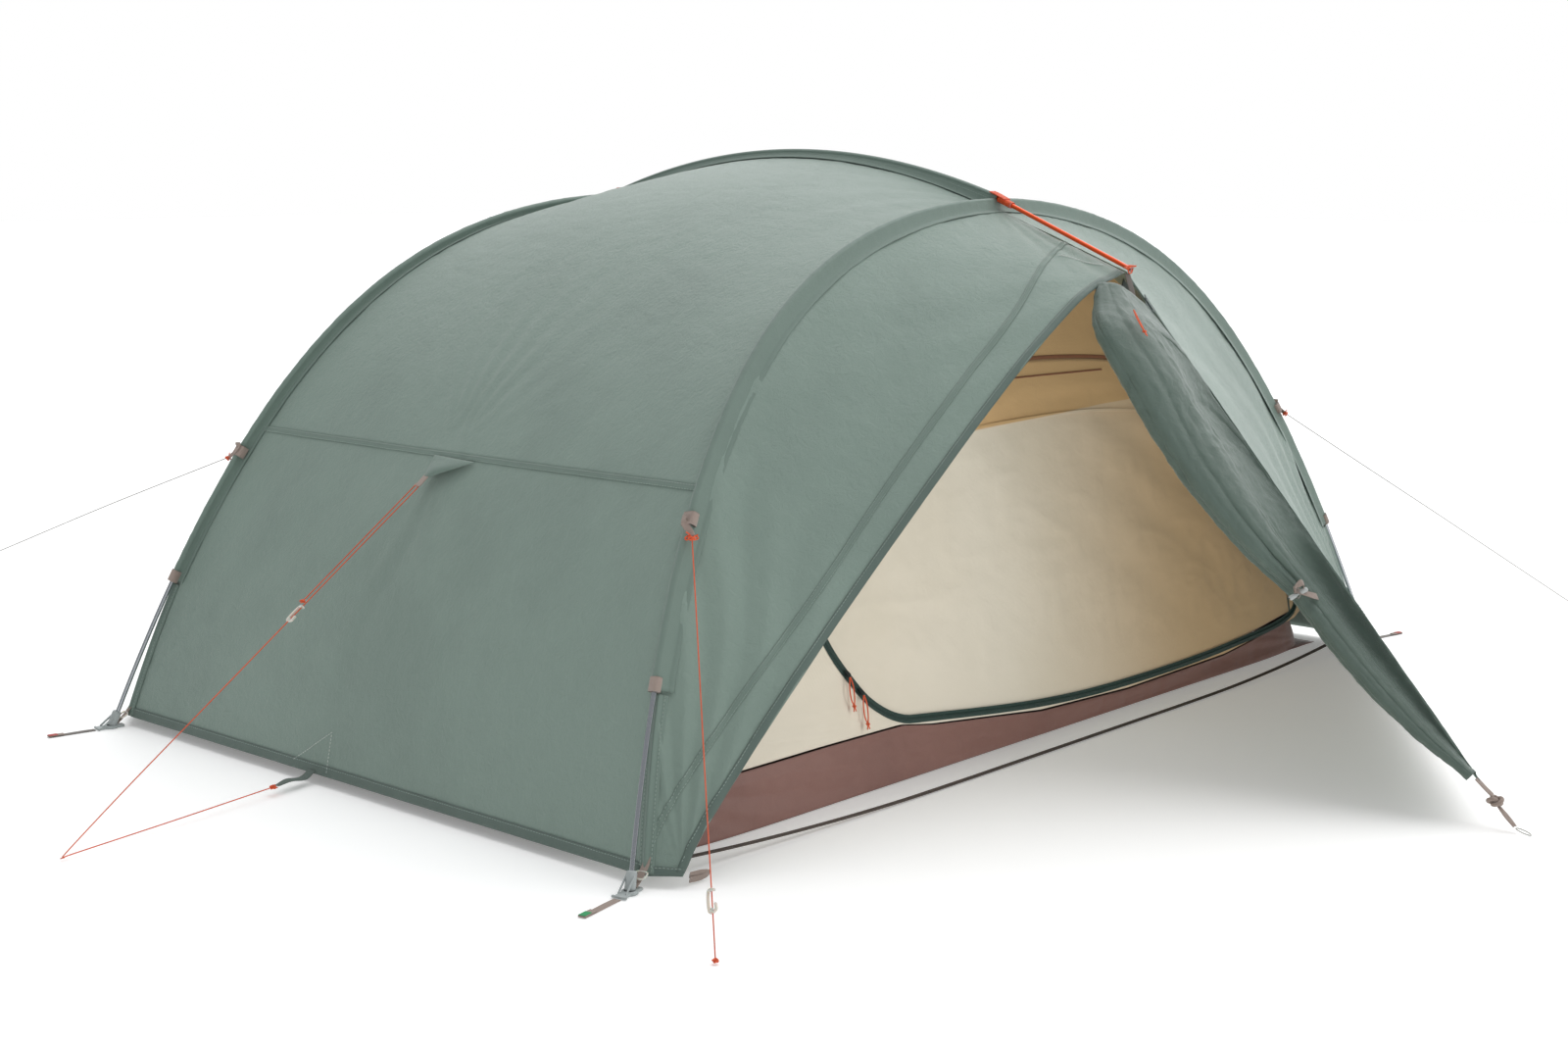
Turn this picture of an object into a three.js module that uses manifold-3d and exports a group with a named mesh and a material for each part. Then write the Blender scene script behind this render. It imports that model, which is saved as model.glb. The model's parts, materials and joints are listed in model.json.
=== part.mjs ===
// A two-door tent on three bent poles: two main poles arch over the long sides and lean
// towards each other, and a ridge pole crosses both and carries the fly out over each door.
// Millimetres, +Z up. The origin is the middle of the footprint on the ground.
// X runs along the door sides, Y from the rear door to the front door at -Y.

import * as THREE from "three";
import { mergeVertices } from "three/addons/utils/BufferGeometryUtils.js";
import Module from "manifold-3d";

const wasm = await Module();
wasm.setup();

// ---- Driving dimensions ----
const HALF_SPAN = 1300; // from the middle to a pole foot, along X
const HALF_WIDTH = 800; // from the middle to a pole foot, along Y
const CREST_Y = 570; // the main poles' highest points, from the middle
const CREST_Z = 1117;
const RIDGE_Z = 1127; // the ridge pole where it crosses a main pole
const APEX_Z = 1222; // the ridge pole's highest point
const TIP_Y = 908; // the ridge pole's ends
const TIP_Z = 987;
const POLE_R = 4.5;
const CLOTH = 4; // thickness of the solids that stand for fabric
const UNDER_POLE = 14; // from a main pole's middle line down to the fly under it
const HEM_Z = 20; // the fly's lower edge above the ground
const SEAM_Z = 630; // the level seam across each end wall
const CORNER = new THREE.Vector3(1225, 850, 22); // lower end of each door edge of the fly
const FLY_TIP = new THREE.Vector3(3, 898, 968); // where the fly hangs from the ridge pole
const FLAP_TIP = new THREE.Vector3(3, 1683, 80); // lower tip of a closed vestibule
const INNER_SPAN = 1210; // the inner tent's half length and height
const INNER_Z = 1035;
const INNER_FOOT_Y = 720;
const INNER_LEAN = 0.192; // the inner end of Y that is lost per millimetre of height
const TUB_Z = 107; // height of the groundsheet's raised edge
const WEB_W = 20; // width and thickness of the webbing
const WEB_T = 1.6;
const GUY_R = 1.1; // guyline radius

const FRONT = -1;
const REAR = 1;
const LEFT = -1;
const RIGHT = 1;
const FACES = { front: FRONT, rear: REAR };
const SIDES = { left: LEFT, right: RIGHT };

// ---- Materials ----
const finish = (color, roughness, metalness = 0) => ({ color, roughness, metalness });
const FINISHES = {
  fly: finish("#7f9488", 0.6),
  inner: finish("#cfc6b2", 0.8),
  groundsheet: finish("#6e4a42", 0.6),
  pole: finish("#a9adb0", 0.3, 1),
  ridge: finish("#e8551d", 0.35, 0.8),
  plastic: finish("#a7adac", 0.5),
  clear: finish("#c9c6bd", 0.4),
  webbing: finish("#8d7a70", 0.85),
  green_webbing: finish("#6d7a72", 0.85),
  cord: finish("#ee5a24", 0.7),
  dark: finish("#1f3330", 0.5),
  steel: finish("#9a9a98", 0.3, 1),
};

const group = new THREE.Group();

function add(name, geometry, finishName) {
  const mesh = new THREE.Mesh(geometry, new THREE.MeshStandardMaterial(FINISHES[finishName]));
  mesh.name = name;
  group.add(mesh);
  return mesh;
}

// ---- Shape helpers ----
const v3 = (x, y, z) => new THREE.Vector3(x, y, z);
const mix = (a, b, t) => a.clone().lerp(b, t);
const placed = (p, side, face) => v3(p.x * side, p.y * face, p.z);

// Six times the volume that the triangles enclose: its sign says which way they face.
function signedVolume(points, index) {
  let sum = 0;
  for (let i = 0; i < index.length; i += 3) {
    const [a, b, c] = [points[index[i]], points[index[i + 1]], points[index[i + 2]]];
    sum += a.dot(b.clone().cross(c));
  }
  return sum;
}

function solidFrom(points, index) {
  if (signedVolume(points, index) < 0) {
    for (let i = 0; i < index.length; i += 3) {
      [index[i + 1], index[i + 2]] = [index[i + 2], index[i + 1]];
    }
  }
  const geometry = new THREE.BufferGeometry().setFromPoints(points);
  geometry.setIndex(index);
  geometry.computeVertexNormals();
  return geometry;
}

// A sheet of cloth: at(s, t) gives its middle surface for s and t from 0 to 1.
function sheet(at, across, along, thickness = CLOTH) {
  const tops = [];
  const bottoms = [];
  const step = 1e-3;
  for (let i = 0; i <= across; i += 1) {
    for (let j = 0; j <= along; j += 1) {
      const s = i / across;
      const t = j / along;
      const p = at(s, t);
      const ds = at(Math.min(s + step, 1), t).sub(at(Math.max(s - step, 0), t));
      const dt = at(s, Math.min(t + step, 1)).sub(at(s, Math.max(t - step, 0)));
      const normal = ds.cross(dt).normalize().multiplyScalar(thickness / 2);
      tops.push(p.clone().add(normal));
      bottoms.push(p.clone().sub(normal));
    }
  }
  const points = [...tops, ...bottoms];
  const under = tops.length;
  const id = (i, j) => i * (along + 1) + j;
  const index = [];
  const quad = (a, b, c, d) => index.push(a, b, c, a, c, d);
  for (let i = 0; i < across; i += 1) {
    for (let j = 0; j < along; j += 1) {
      const [a, b, c, d] = [id(i, j), id(i + 1, j), id(i + 1, j + 1), id(i, j + 1)];
      quad(a, b, c, d);
      quad(under + a, under + d, under + c, under + b);
    }
  }
  const rim = [];
  for (let i = 0; i < across; i += 1) rim.push(id(i, 0));
  for (let j = 0; j < along; j += 1) rim.push(id(across, j));
  for (let i = across; i > 0; i -= 1) rim.push(id(i, along));
  for (let j = along; j > 0; j -= 1) rim.push(id(0, j));
  rim.forEach((a, k) => {
    const b = rim[(k + 1) % rim.length];
    quad(b, a, under + a, under + b);
  });
  return solidFrom(points, index);
}

// A body whose oval section changes along a path: stations are {at, wide, deep}, and the
// wide axis lies along `across` as nearly as the path allows.
function loft(stations, across, sides = 10) {
  const points = [];
  const index = [];
  stations.forEach(({ at, wide, deep }, k) => {
    const before = stations[Math.max(k - 1, 0)].at;
    const after = stations[Math.min(k + 1, stations.length - 1)].at;
    const along = after.clone().sub(before).normalize();
    const side = across.clone().addScaledVector(along, -across.dot(along)).normalize();
    const up = along.clone().cross(side);
    for (let i = 0; i < sides; i += 1) {
      const angle = (i / sides) * 2 * Math.PI;
      const p = at.clone().addScaledVector(side, wide * Math.cos(angle));
      points.push(p.addScaledVector(up, deep * Math.sin(angle)));
    }
  });
  for (let k = 0; k + 1 < stations.length; k += 1) {
    for (let i = 0; i < sides; i += 1) {
      const next = (i + 1) % sides;
      const [a, b] = [k * sides + i, k * sides + next];
      index.push(a, b, b + sides, a, b + sides, a + sides);
    }
  }
  const last = (stations.length - 1) * sides;
  for (let i = 1; i + 1 < sides; i += 1) {
    index.push(0, i + 1, i);
    index.push(last, last + i, last + i + 1);
  }
  return solidFrom(points, index);
}

// A round tube along a smooth curve through the points.
function tube(points, radius, steps, sides = 8) {
  const path = new THREE.CatmullRomCurve3(points, false, "centripetal");
  const section = new THREE.Shape().absarc(0, 0, radius, 0, 2 * Math.PI);
  const options = { steps, extrudePath: path, bevelEnabled: false, curveSegments: sides / 2 };
  return new THREE.ExtrudeGeometry(section, options);
}

// A flat strap of webbing that follows the points, its width along `across`.
function strap(points, across, width = WEB_W, thickness = WEB_T) {
  const path = new THREE.CatmullRomCurve3(points, false, "centripetal");
  const middle = (s, t) => path.getPoint(t).addScaledVector(across, (s - 0.5) * width);
  return sheet(middle, 1, Math.max(points.length * 2 - 2, 1), thickness);
}

function toSolid(geometry) {
  const plain = geometry.index ? geometry.toNonIndexed() : geometry.clone();
  plain.deleteAttribute("normal");
  plain.deleteAttribute("uv");
  const merged = mergeVertices(plain, 1e-4);
  const mesh = new wasm.Mesh({
    numProp: 3,
    vertProperties: new Float32Array(merged.attributes.position.array),
    triVerts: new Uint32Array(merged.index.array),
  });
  return new wasm.Manifold(mesh);
}

function toGeometry(solid) {
  const mesh = solid.getMesh();
  const geometry = new THREE.BufferGeometry();
  geometry.setAttribute("position", new THREE.BufferAttribute(mesh.vertProperties, 3));
  geometry.setIndex(new THREE.BufferAttribute(mesh.triVerts, 1));
  geometry.computeVertexNormals();
  return geometry;
}

const block = (x, y, z, cx, cy, cz) => new THREE.BoxGeometry(x, y, z).translate(cx, cy, cz);

// A cylinder between two points.
function rod(from, to, radius, sides = 12) {
  const along = to.clone().sub(from);
  const geometry = new THREE.CylinderGeometry(radius, radius, along.length(), sides);
  const turn = new THREE.Quaternion().setFromUnitVectors(v3(0, 1, 0), along.normalize());
  return geometry.applyQuaternion(turn).translate(...mix(from, to, 0.5).toArray());
}

// ---- The bent line of a main pole ----
// Height as a share of the crest at u, the distance from the middle as a share of the
// half span: flat at the top and steep at the feet, as an elastic rod bends.
const bend = (u) => 1 - 0.45 * u ** 2 - 0.55 * Math.abs(u) ** 4.4;

function bentPole(u, face, inset = 0) {
  const z = (CREST_Z - inset) * bend(u);
  const y = HALF_WIDTH - ((HALF_WIDTH - CREST_Y) * z) / CREST_Z;
  return v3((HALF_SPAN - inset) * u, face * y, z);
}

// u at a share of the pole's length from the crest to the foot, so that points lie evenly.
const LENGTHS = [0];
const LENGTH_STEPS = 200;
for (let i = 1; i <= LENGTH_STEPS; i += 1) {
  const piece = bentPole(i / LENGTH_STEPS, REAR).distanceTo(bentPole((i - 1) / LENGTH_STEPS, REAR));
  LENGTHS.push(LENGTHS[i - 1] + piece);
}
function evenU(share) {
  const wanted = Math.min(Math.max(share, 0), 1) * LENGTHS[LENGTH_STEPS];
  let i = 1;
  while (i < LENGTH_STEPS && LENGTHS[i] < wanted) i += 1;
  return (i - 1 + (wanted - LENGTHS[i - 1]) / (LENGTHS[i] - LENGTHS[i - 1])) / LENGTH_STEPS;
}
// The same for an arch of any size and height: u where it stands at height z.
function uAtHeight(z, crest) {
  let [low, high] = [0, 1];
  for (let i = 0; i < 40; i += 1) {
    const middle = (low + high) / 2;
    if (crest * bend(middle) > z) low = middle;
    else high = middle;
  }
  return low;
}

// ---- Poles ----
const SECTION_U = 0.77; // the joint between a main pole's lower and upper sections
const POLE_END_U = uAtHeight(9, CREST_Z); // the pole's end, inside its foot
const spread = (from, to, count, at) =>
  Array.from({ length: count + 1 }, (_, i) => at(from + ((to - from) * i) / count));

for (const [faceName, face] of Object.entries(FACES)) {
  const top = spread(-SECTION_U, SECTION_U, 16, (u) => bentPole(u, face));
  add(`${faceName}_pole_top`, tube(top, POLE_R, 20), "pole");
  for (const [sideName, side] of Object.entries(SIDES)) {
    const start = SECTION_U + 0.001;
    const low = spread(start, POLE_END_U, 6, (u) => bentPole(side * u, face));
    add(`${faceName}_pole_${sideName}`, tube(low, POLE_R, 6), "pole");
  }
  const from = v3(0, face * (CREST_Y + 14), RIDGE_Z - 5.5);
  add(`ridge_pole_${faceName}`, rod(from, v3(0, face * TIP_Y, TIP_Z), POLE_R, 10), "ridge");
}
const ridgeZ = (y) => RIDGE_Z + (APEX_Z - RIDGE_Z) * (1 - (y / CREST_Y) ** 2);
const ridgeEnd = CREST_Y + 13;
const ridgeRoof = spread(-ridgeEnd, ridgeEnd, 10, (y) => v3(0, y, ridgeZ(y)));
add("ridge_pole_roof", tube(ridgeRoof, POLE_R, 10), "ridge");

// ---- Fly ----
const HEM_U = uAtHeight(HEM_Z, CREST_Z - UNDER_POLE);
const SEAM_U = uAtHeight(SEAM_Z, CREST_Z - UNDER_POLE);
const ROOF_CROWN = APEX_Z - 10 - (CREST_Z - UNDER_POLE); // rise of the roof at the ridge
const CROWN_REACH = 0.75; // share of the half span over which that rise fades out
const PANEL_EDGE = 6; // how far a panel stops short of the seam under a pole
const RIDGE_HALF = 1.5; // how far it stops short of the ridge seam

// The fly between the main poles: t runs from the front pole to the rear one.
function roofAt(u, t, side) {
  const edge = bentPole(u, REAR, UNDER_POLE);
  const across = 2 * t - 1;
  const fade = Math.max(1 - u / CROWN_REACH, 0) ** 1.3;
  const rise = ROOF_CROWN * fade * (1 - Math.abs(across) ** 2);
  return v3(side * (edge.x + RIDGE_HALF), across * (edge.y - PANEL_EDGE), edge.z + rise);
}

for (const [sideName, side] of Object.entries(SIDES)) {
  const roof = (s, t) => roofAt(SEAM_U * (1 - s) - 0.0008 * (1 - s), t, side);
  add(`fly_roof_${sideName}`, sheet(roof, 10, 8), "fly");
  const wallLength = HEM_U - SEAM_U - 0.0008;
  const wall = (s, t) => roofAt(SEAM_U + 0.0008 + wallLength * s, t, side);
  add(`fly_end_wall_${sideName}`, sheet(wall, 5, 5), "fly");
}

// A door edge of the fly from the ridge's tip to the ground corner: straight where it is
// zipped, and curved back towards its panel where the door is open.
const OPEN_EDGE = new THREE.CatmullRomCurve3([
  FLY_TIP,
  v3(175, 903, 930),
  v3(450, 895, 742),
  v3(870, 875, 390),
  v3(1150, 855, 118),
  CORNER,
]);
const doorEdge = (s, open) => (open ? OPEN_EDGE.getPointAt(s) : mix(FLY_TIP, CORNER, s));
const HEM_SHARE = LENGTHS[Math.round(HEM_U * LENGTH_STEPS)] / LENGTHS[LENGTH_STEPS];

function sidePanel(side, face, open) {
  return (s, t) => {
    const arch = bentPole(evenU(s * HEM_SHARE), REAR, UNDER_POLE);
    arch.x += RIDGE_HALF;
    const edge = doorEdge(s, open);
    const start = PANEL_EDGE / arch.distanceTo(edge);
    return placed(mix(arch, edge, start + (1 - start) * t), side, face);
  };
}

// A closed half of a vestibule door, between the zip on the door edge and the line from
// the ridge's tip to the peg. `drop` is how far its top is let down: at the zip, at the ridge.
function halfDoor(side, face, drop) {
  return (s, t) => {
    const top = drop[0] + (drop[1] - drop[0]) * t;
    const along = top + (1 - top) * s;
    const zip = doorEdge(along, false);
    const fold = mix(FLY_TIP, FLAP_TIP, along);
    const start = 5 / zip.distanceTo(fold);
    return placed(mix(zip, fold, start + (1 - start) * t), side, face);
  };
}

const SHUT = [0.06, 0.05]; // a zip run right up to its top
const VENTED = [0.25, 0.08]; // a zip let down for air at the ridge's tip
for (const [sideName, side] of Object.entries(SIDES)) {
  const open = side === LEFT;
  add(`fly_side_front_${sideName}`, sheet(sidePanel(side, FRONT, open), 12, 3), "fly");
  add(`fly_side_rear_${sideName}`, sheet(sidePanel(side, REAR, false), 12, 3), "fly");
  add(`fly_door_rear_${sideName}`, sheet(halfDoor(side, REAR, SHUT), 4, 3), "fly");
}
add("fly_door_front_right", sheet(halfDoor(RIGHT, FRONT, VENTED), 4, 3), "fly");

// The open half of the front door, rolled up along the line from the tip to the peg.
const ROLL = [
  { at: v3(-110, -948, 910), wide: 72, deep: 20 },
  { at: v3(-138, -992, 862), wide: 96, deep: 36 },
  { at: v3(-130, -1040, 790), wide: 92, deep: 42 },
  { at: v3(-118, -1104, 690), wide: 84, deep: 42 },
  { at: v3(-108, -1174, 600), wide: 76, deep: 40 },
  { at: v3(-80, -1256, 495), wide: 56, deep: 34 },
  { at: v3(-42, -1330, 402), wide: 33, deep: 24 },
  { at: v3(-32, -1440, 285), wide: 34, deep: 22 },
  { at: v3(-20, -1560, 175), wide: 25, deep: 16 },
  { at: v3(-10, -1668, 92), wide: 8, deep: 8 },
];
add("fly_door_roll", loft(ROLL, v3(0.95, 0, 0.25)), "fly");

// ---- Inner tent ----
const slant = (z) => INNER_FOOT_Y - INNER_LEAN * z;
function innerArch(u) {
  const z = INNER_Z * bend(u);
  return v3(INNER_SPAN * u, slant(z), z);
}
// Top line of the groundsheet's front edge, which is the doorway's sill: x and z.
const SILL = [
  [-700, TUB_Z],
  [-465, 104],
  [-369, 88],
  [0, 48],
  [330, 36],
  [750, 42],
  [1092, 74],
  [1172, TUB_Z],
];
// The doorway, from the sill's right end round the bottom, the left side and the top.
const DOORWAY = [
  [1080, 92],
  [750, 60],
  [330, 53],
  [0, 66],
  [-369, 105],
  [-465, 121],
  [-540, 162],
  [-592, 216],
  [-645, 292],
  [-690, 400],
  [-690, 530],
  [-620, 650],
  [-480, 730],
  [-200, 772],
  [200, 780],
  [560, 742],
  [820, 630],
  [950, 480],
  [1030, 330],
  [1080, 190],
];
const SLOPE = Math.hypot(1, INNER_LEAN); // length up the wall per millimetre of height
// Puts a flat outline of x and height onto the leaning wall, and gives it thickness.
function onWall(outline, face, thickness = CLOTH) {
  const shape = new THREE.Shape(outline.map(([x, z]) => new THREE.Vector2(x, z * SLOPE)));
  const options = { depth: thickness, bevelEnabled: false };
  const up = v3(0, INNER_LEAN / SLOPE, 1 / SLOPE);
  const basis = new THREE.Matrix4().makeBasis(v3(1, 0, 0), up, v3(1, 0, 0).cross(up));
  const geometry = new THREE.ExtrudeGeometry(shape, options).applyMatrix4(basis);
  geometry.translate(0, -INNER_FOOT_Y, 0);
  if (face === REAR) geometry.rotateZ(Math.PI);
  return geometry;
}
const WALL_FOOT = TUB_Z + 3;
const wallU = uAtHeight(WALL_FOOT, INNER_Z);
const archLine = spread(wallU, -wallU, 24, (u) => [innerArch(u).x, innerArch(u).z]);
add("inner_rear_wall", onWall(archLine, REAR), "inner");
const frontWall = [...archLine, [-720, WALL_FOOT], ...DOORWAY.slice(4).map((p) => [...p])];
add("inner_front_wall", onWall([...frontWall, [1086, WALL_FOOT]], FRONT), "inner");

// The door panel stops short of its zip all round.
const DOOR_MIDDLE = [250, 420];
const DOOR_GAP = 9;
function shrink([x, z]) {
  const [dx, dz] = [x - DOOR_MIDDLE[0], z - DOOR_MIDDLE[1]];
  const share = 1 - DOOR_GAP / Math.hypot(dx, dz);
  return [DOOR_MIDDLE[0] + dx * share, DOOR_MIDDLE[1] + dz * share];
}
add("inner_door", onWall(DOORWAY.map(shrink), FRONT), "inner");

for (const [sideName, side] of Object.entries(SIDES)) {
  const panel = (s, t) => {
    const p = innerArch(wallU * (1 - s));
    return v3(side * (p.x + RIDGE_HALF), (2 * t - 1) * (p.y - 8), p.z);
  };
  add(`inner_side_${sideName}`, sheet(panel, 12, 3), "inner");
}

// Groundsheet: a flat floor with a raised edge, lower across the doorway.
function tray(inset, from, to) {
  const box = new THREE.BoxGeometry(2, 2, 1).toNonIndexed();
  const position = box.attributes.position;
  for (let i = 0; i < position.count; i += 1) {
    const z = position.getZ(i) > 0 ? to : from;
    const x = (INNER_SPAN - 10 - inset - z * 0.26) * Math.sign(position.getX(i));
    const y = (slant(z) - inset) * Math.sign(position.getY(i));
    position.setXYZ(i, x, y, z);
  }
  return toSolid(box);
}
const cut = new THREE.Shape();
cut.moveTo(SILL[0][0], TUB_Z + 20);
SILL.forEach(([x, z]) => cut.lineTo(x, z));
cut.lineTo(SILL[SILL.length - 1][0], TUB_Z + 20);
const sillCut = new THREE.ExtrudeGeometry(cut, { depth: 60, bevelEnabled: false });
sillCut.rotateX(Math.PI / 2).translate(0, -INNER_FOOT_Y + 50, 0);
const tub = tray(0, 0, TUB_Z).subtract(tray(CLOTH, CLOTH, TUB_Z + 5)).subtract(toSolid(sillCut));
add("groundsheet", toGeometry(tub), "groundsheet");

// ---- Feet ----
const FOOT_OUT = 30; // from the pole's end to the strap's bar
const STRAP_LENGTH = 100;
const STRAP_GAP = 1.5; // room for the strap's end to turn as it lifts
function foot(side, face) {
  const at = bentPole(side, face);
  const up = bentPole(side * 0.96, face).sub(at).normalize();
  const out = v3(side, face * 0.2, 0).normalize();
  const across = v3(-out.y, out.x, 0);
  const turn = new THREE.Matrix4().makeBasis(out, across, v3(0, 0, 1)).setPosition(at);
  const base = toSolid(block(2 * FOOT_OUT, 30, 5, 4, 0, 2.5).applyMatrix4(turn));
  const onPole = (distance) => at.clone().addScaledVector(up, distance);
  const cup = toSolid(rod(onPole(-14), onPole(34), 10));
  const socket = toSolid(rod(onPole(8.5), onPole(60), 5.2, 16));
  const ground = toSolid(block(200, 200, 60, at.x, at.y, -30));
  return base.add(cup).subtract(socket).subtract(ground);
}
for (const [faceName, face] of Object.entries(FACES)) {
  for (const [sideName, side] of Object.entries(SIDES)) {
    add(`foot_${faceName}_${sideName}`, toGeometry(foot(side, face)), "plastic");
    const at = bentPole(side, face).setZ(WEB_T / 2 + 0.3);
    const out = v3(side, face * 0.2, 0).normalize();
    const start = at.clone().addScaledVector(out, FOOT_OUT + 4 + STRAP_GAP);
    const end = start.clone().addScaledVector(out, STRAP_LENGTH);
    const line = [start, mix(start, end, 0.5), end];
    add(`foot_strap_${faceName}_${sideName}`, strap(line, v3(-out.y, out.x, 0), 15), "webbing");
  }
  const from = v3(-HALF_SPAN + 60, face * (HALF_WIDTH + 12), 4.5);
  const to = v3(HALF_SPAN - 60, face * (HALF_WIDTH + 12), 4.5);
  add(`base_strap_${faceName}`, strap([from, mix(from, to, 0.5), to], v3(0, 1, 0), 15), "webbing");
}

// ---- Vestibule pegging points ----
for (const [faceName, face] of Object.entries(FACES)) {
  const line = [
    v3(0, face * 1691, 73),
    v3(0, face * 1712, 52),
    v3(0, face * 1738, 26),
    v3(0, face * 1752, 12),
  ];
  add(`peg_strap_${faceName}`, strap(line, v3(1, 0, 0), 16), "webbing");
  const ring = new THREE.TorusGeometry(7, 1.2, 6, 14).scale(1, 2.1, 1);
  ring.rotateX(face * -0.25).translate(0, face * 1770, 6.5);
  add(`peg_hook_${faceName}`, ring, "steel");
}

// ---- Zip sliders and pulls ----
// A small body with a flat pull lying along `along` and facing `out`.
function slider(at, along, out, size) {
  const across = out.clone().cross(along).normalize();
  const basis = new THREE.Matrix4().makeBasis(along, across, out).setPosition(at);
  return block(size[0], size[1], size[2], 0, 0, size[2] / 2).applyMatrix4(basis);
}
const zipLine = placed(CORNER, RIGHT, FRONT).sub(placed(FLY_TIP, RIGHT, FRONT)).normalize();
const zipAt = placed(doorEdge(0.61, false), RIGHT, FRONT);
const flyOut = v3(0.2, -0.88, 0.4);
flyOut.addScaledVector(zipLine, -flyOut.dot(zipLine)).normalize();
zipAt.addScaledVector(flyOut, 6);
add("fly_zip_slider", slider(zipAt, zipLine, flyOut, [22, 11, 7]), "dark");

const wallOut = v3(0, -1 / SLOPE, INNER_LEAN / SLOPE);
const onWallFace = (x, z, proud) => v3(x, -slant(z), z).addScaledVector(wallOut, CLOTH + proud);
const PULLS = { upper: [-606, 232], lower: [-574, 192] };
const PULL_LENGTH = 62;
for (const [name, [x, z]] of Object.entries(PULLS)) {
  const zipWay = v3(0.62, -0.15, -0.77);
  zipWay.addScaledVector(wallOut, -zipWay.dot(wallOut)).normalize();
  add(`inner_zip_slider_${name}`, slider(onWallFace(x, z, 2), zipWay, wallOut, [16, 9, 4]), "cord");
  const top = onWallFace(x, z - 10, 9);
  const end = onWallFace(x, z - 10 - PULL_LENGTH, 9);
  add(`inner_zip_pull_${name}`, tube([top, mix(top, end, 0.5), end], 3, 2), "cord");
}

const PULL_TOP = v3(-140, -1005, 916);
const PULL_END = v3(-160, -1048, 873);
add("fly_zip_pull", tube([PULL_TOP, mix(PULL_TOP, PULL_END, 0.5), PULL_END], 2.5, 2), "cord");

// Toggle that holds the rolled door, across the front of the roll.
const TOGGLE_AT = v3(-92, -1352, 402);
const TOGGLE_WAY = v3(0.75, -0.5, 0.43).normalize().multiplyScalar(20);
const toggleEnds = [TOGGLE_AT.clone().sub(TOGGLE_WAY), TOGGLE_AT.clone().add(TOGGLE_WAY)];
add("door_toggle", rod(...toggleEnds, 5, 10), "plastic");

// ---- Guylines ----
// The tab on the end wall's seam, which the guyline pulls out, and the one at its hem.
const TAB = [v3(-1010, 50, 606), v3(-1030, 50, 590), v3(-1046, 50, 574)];
add("guy_tab_end", strap(TAB, v3(0, 1, 0), 24), "fly");
const HEM_TAB = [v3(-1290, 130, 14), v3(-1322, 124, 20), v3(-1356, 115, 18)];
add("guy_tab_hem", strap(HEM_TAB, v3(0.15, 1, 0).normalize(), 20), "green_webbing");

// Each guyline is the list of points that it passes through.
const END_GUY = [
  v3(-1316, 65, 380),
  v3(-1200, 62, 463),
  v3(-1054, 59, 567),
  v3(-1049, 55, 572),
  v3(-1051, 49, 569),
  v3(-1060, 46, 563),
  v3(-1200, 50, 463),
  v3(-1325, 52, 374),
  v3(-1500, 56, 249),
  v3(-1700, 61, 106),
  v3(-1828, 60, 14),
  v3(-1836, 58, 7),
  v3(-1836, 54, 6),
  v3(-1828, 55, 8),
  v3(-1600, 82, 13),
  v3(-1366, 113, 18),
];
const FRONT_GUY = [
  v3(-1047, -702, 558),
  v3(-1120, -782, 454),
  v3(-1200, -869, 341),
  v3(-1300, -978, 198),
  v3(-1391, -1078, 68),
  v3(-1436, -1127, 5),
];
const REAR_GUY = [
  v3(-1046, 700, 570),
  v3(-1120, 1079, 433),
  v3(-1200, 1480, 281),
  v3(-1290, 1930, 113),
  v3(-1347, 2225, 3),
];
const RIGHT_GUY = [
  v3(1032, -692, 596),
  v3(1250, -773, 466),
  v3(1500, -866, 318),
  v3(1760, -962, 163),
  v3(2018, -1058, 9),
];
add("guyline_end", tube(END_GUY, GUY_R, 80, 8), "cord");
add("guyline_front_left", tube(FRONT_GUY, GUY_R, 12, 8), "cord");
add("guyline_rear_left", tube(REAR_GUY, GUY_R, 16, 8), "cord");
add("guyline_front_right", tube(RIGHT_GUY, GUY_R, 14, 8), "cord");

// Line runners: a flat bar with an eye at each end that the guyline passes through.
const RUNNER = { length: 40, width: 16, depth: 6, eye: 2.6 };
function runner(at, along) {
  const way = along.clone().normalize();
  const out = v3(0, 1, 0).cross(way).normalize();
  const turn = new THREE.Matrix4().makeBasis(way, out.clone().cross(way), out).setPosition(at);
  const { length, width, depth, eye } = RUNNER;
  const frame = toSolid(block(length, width, depth, 0, 0, 0));
  const window = toSolid(block(length - 14, width - 5, 20, 0, 2.5, 0));
  const hole = toSolid(new THREE.CylinderGeometry(eye, eye, length * 2, 12).rotateZ(Math.PI / 2));
  return toGeometry(frame.subtract(window).subtract(hole)).applyMatrix4(turn);
}
const endWay = v3(-175, 4, -125);
add("line_runner_end", runner(v3(-1342, 52.4, 361.9), endWay), "clear");
const frontWay = v3(-91, -100, -130);
add("line_runner_front", runner(v3(-1386, -1072.5, 75.1), frontWay), "clear");

export default group;
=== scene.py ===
"""A two-door tent, pitched: cloth, webbing, poles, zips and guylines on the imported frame.

Metres, +Z up. The origin is the middle of the footprint on the ground, X runs along the
door sides and the open door faces -Y."""

import json
import math

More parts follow.
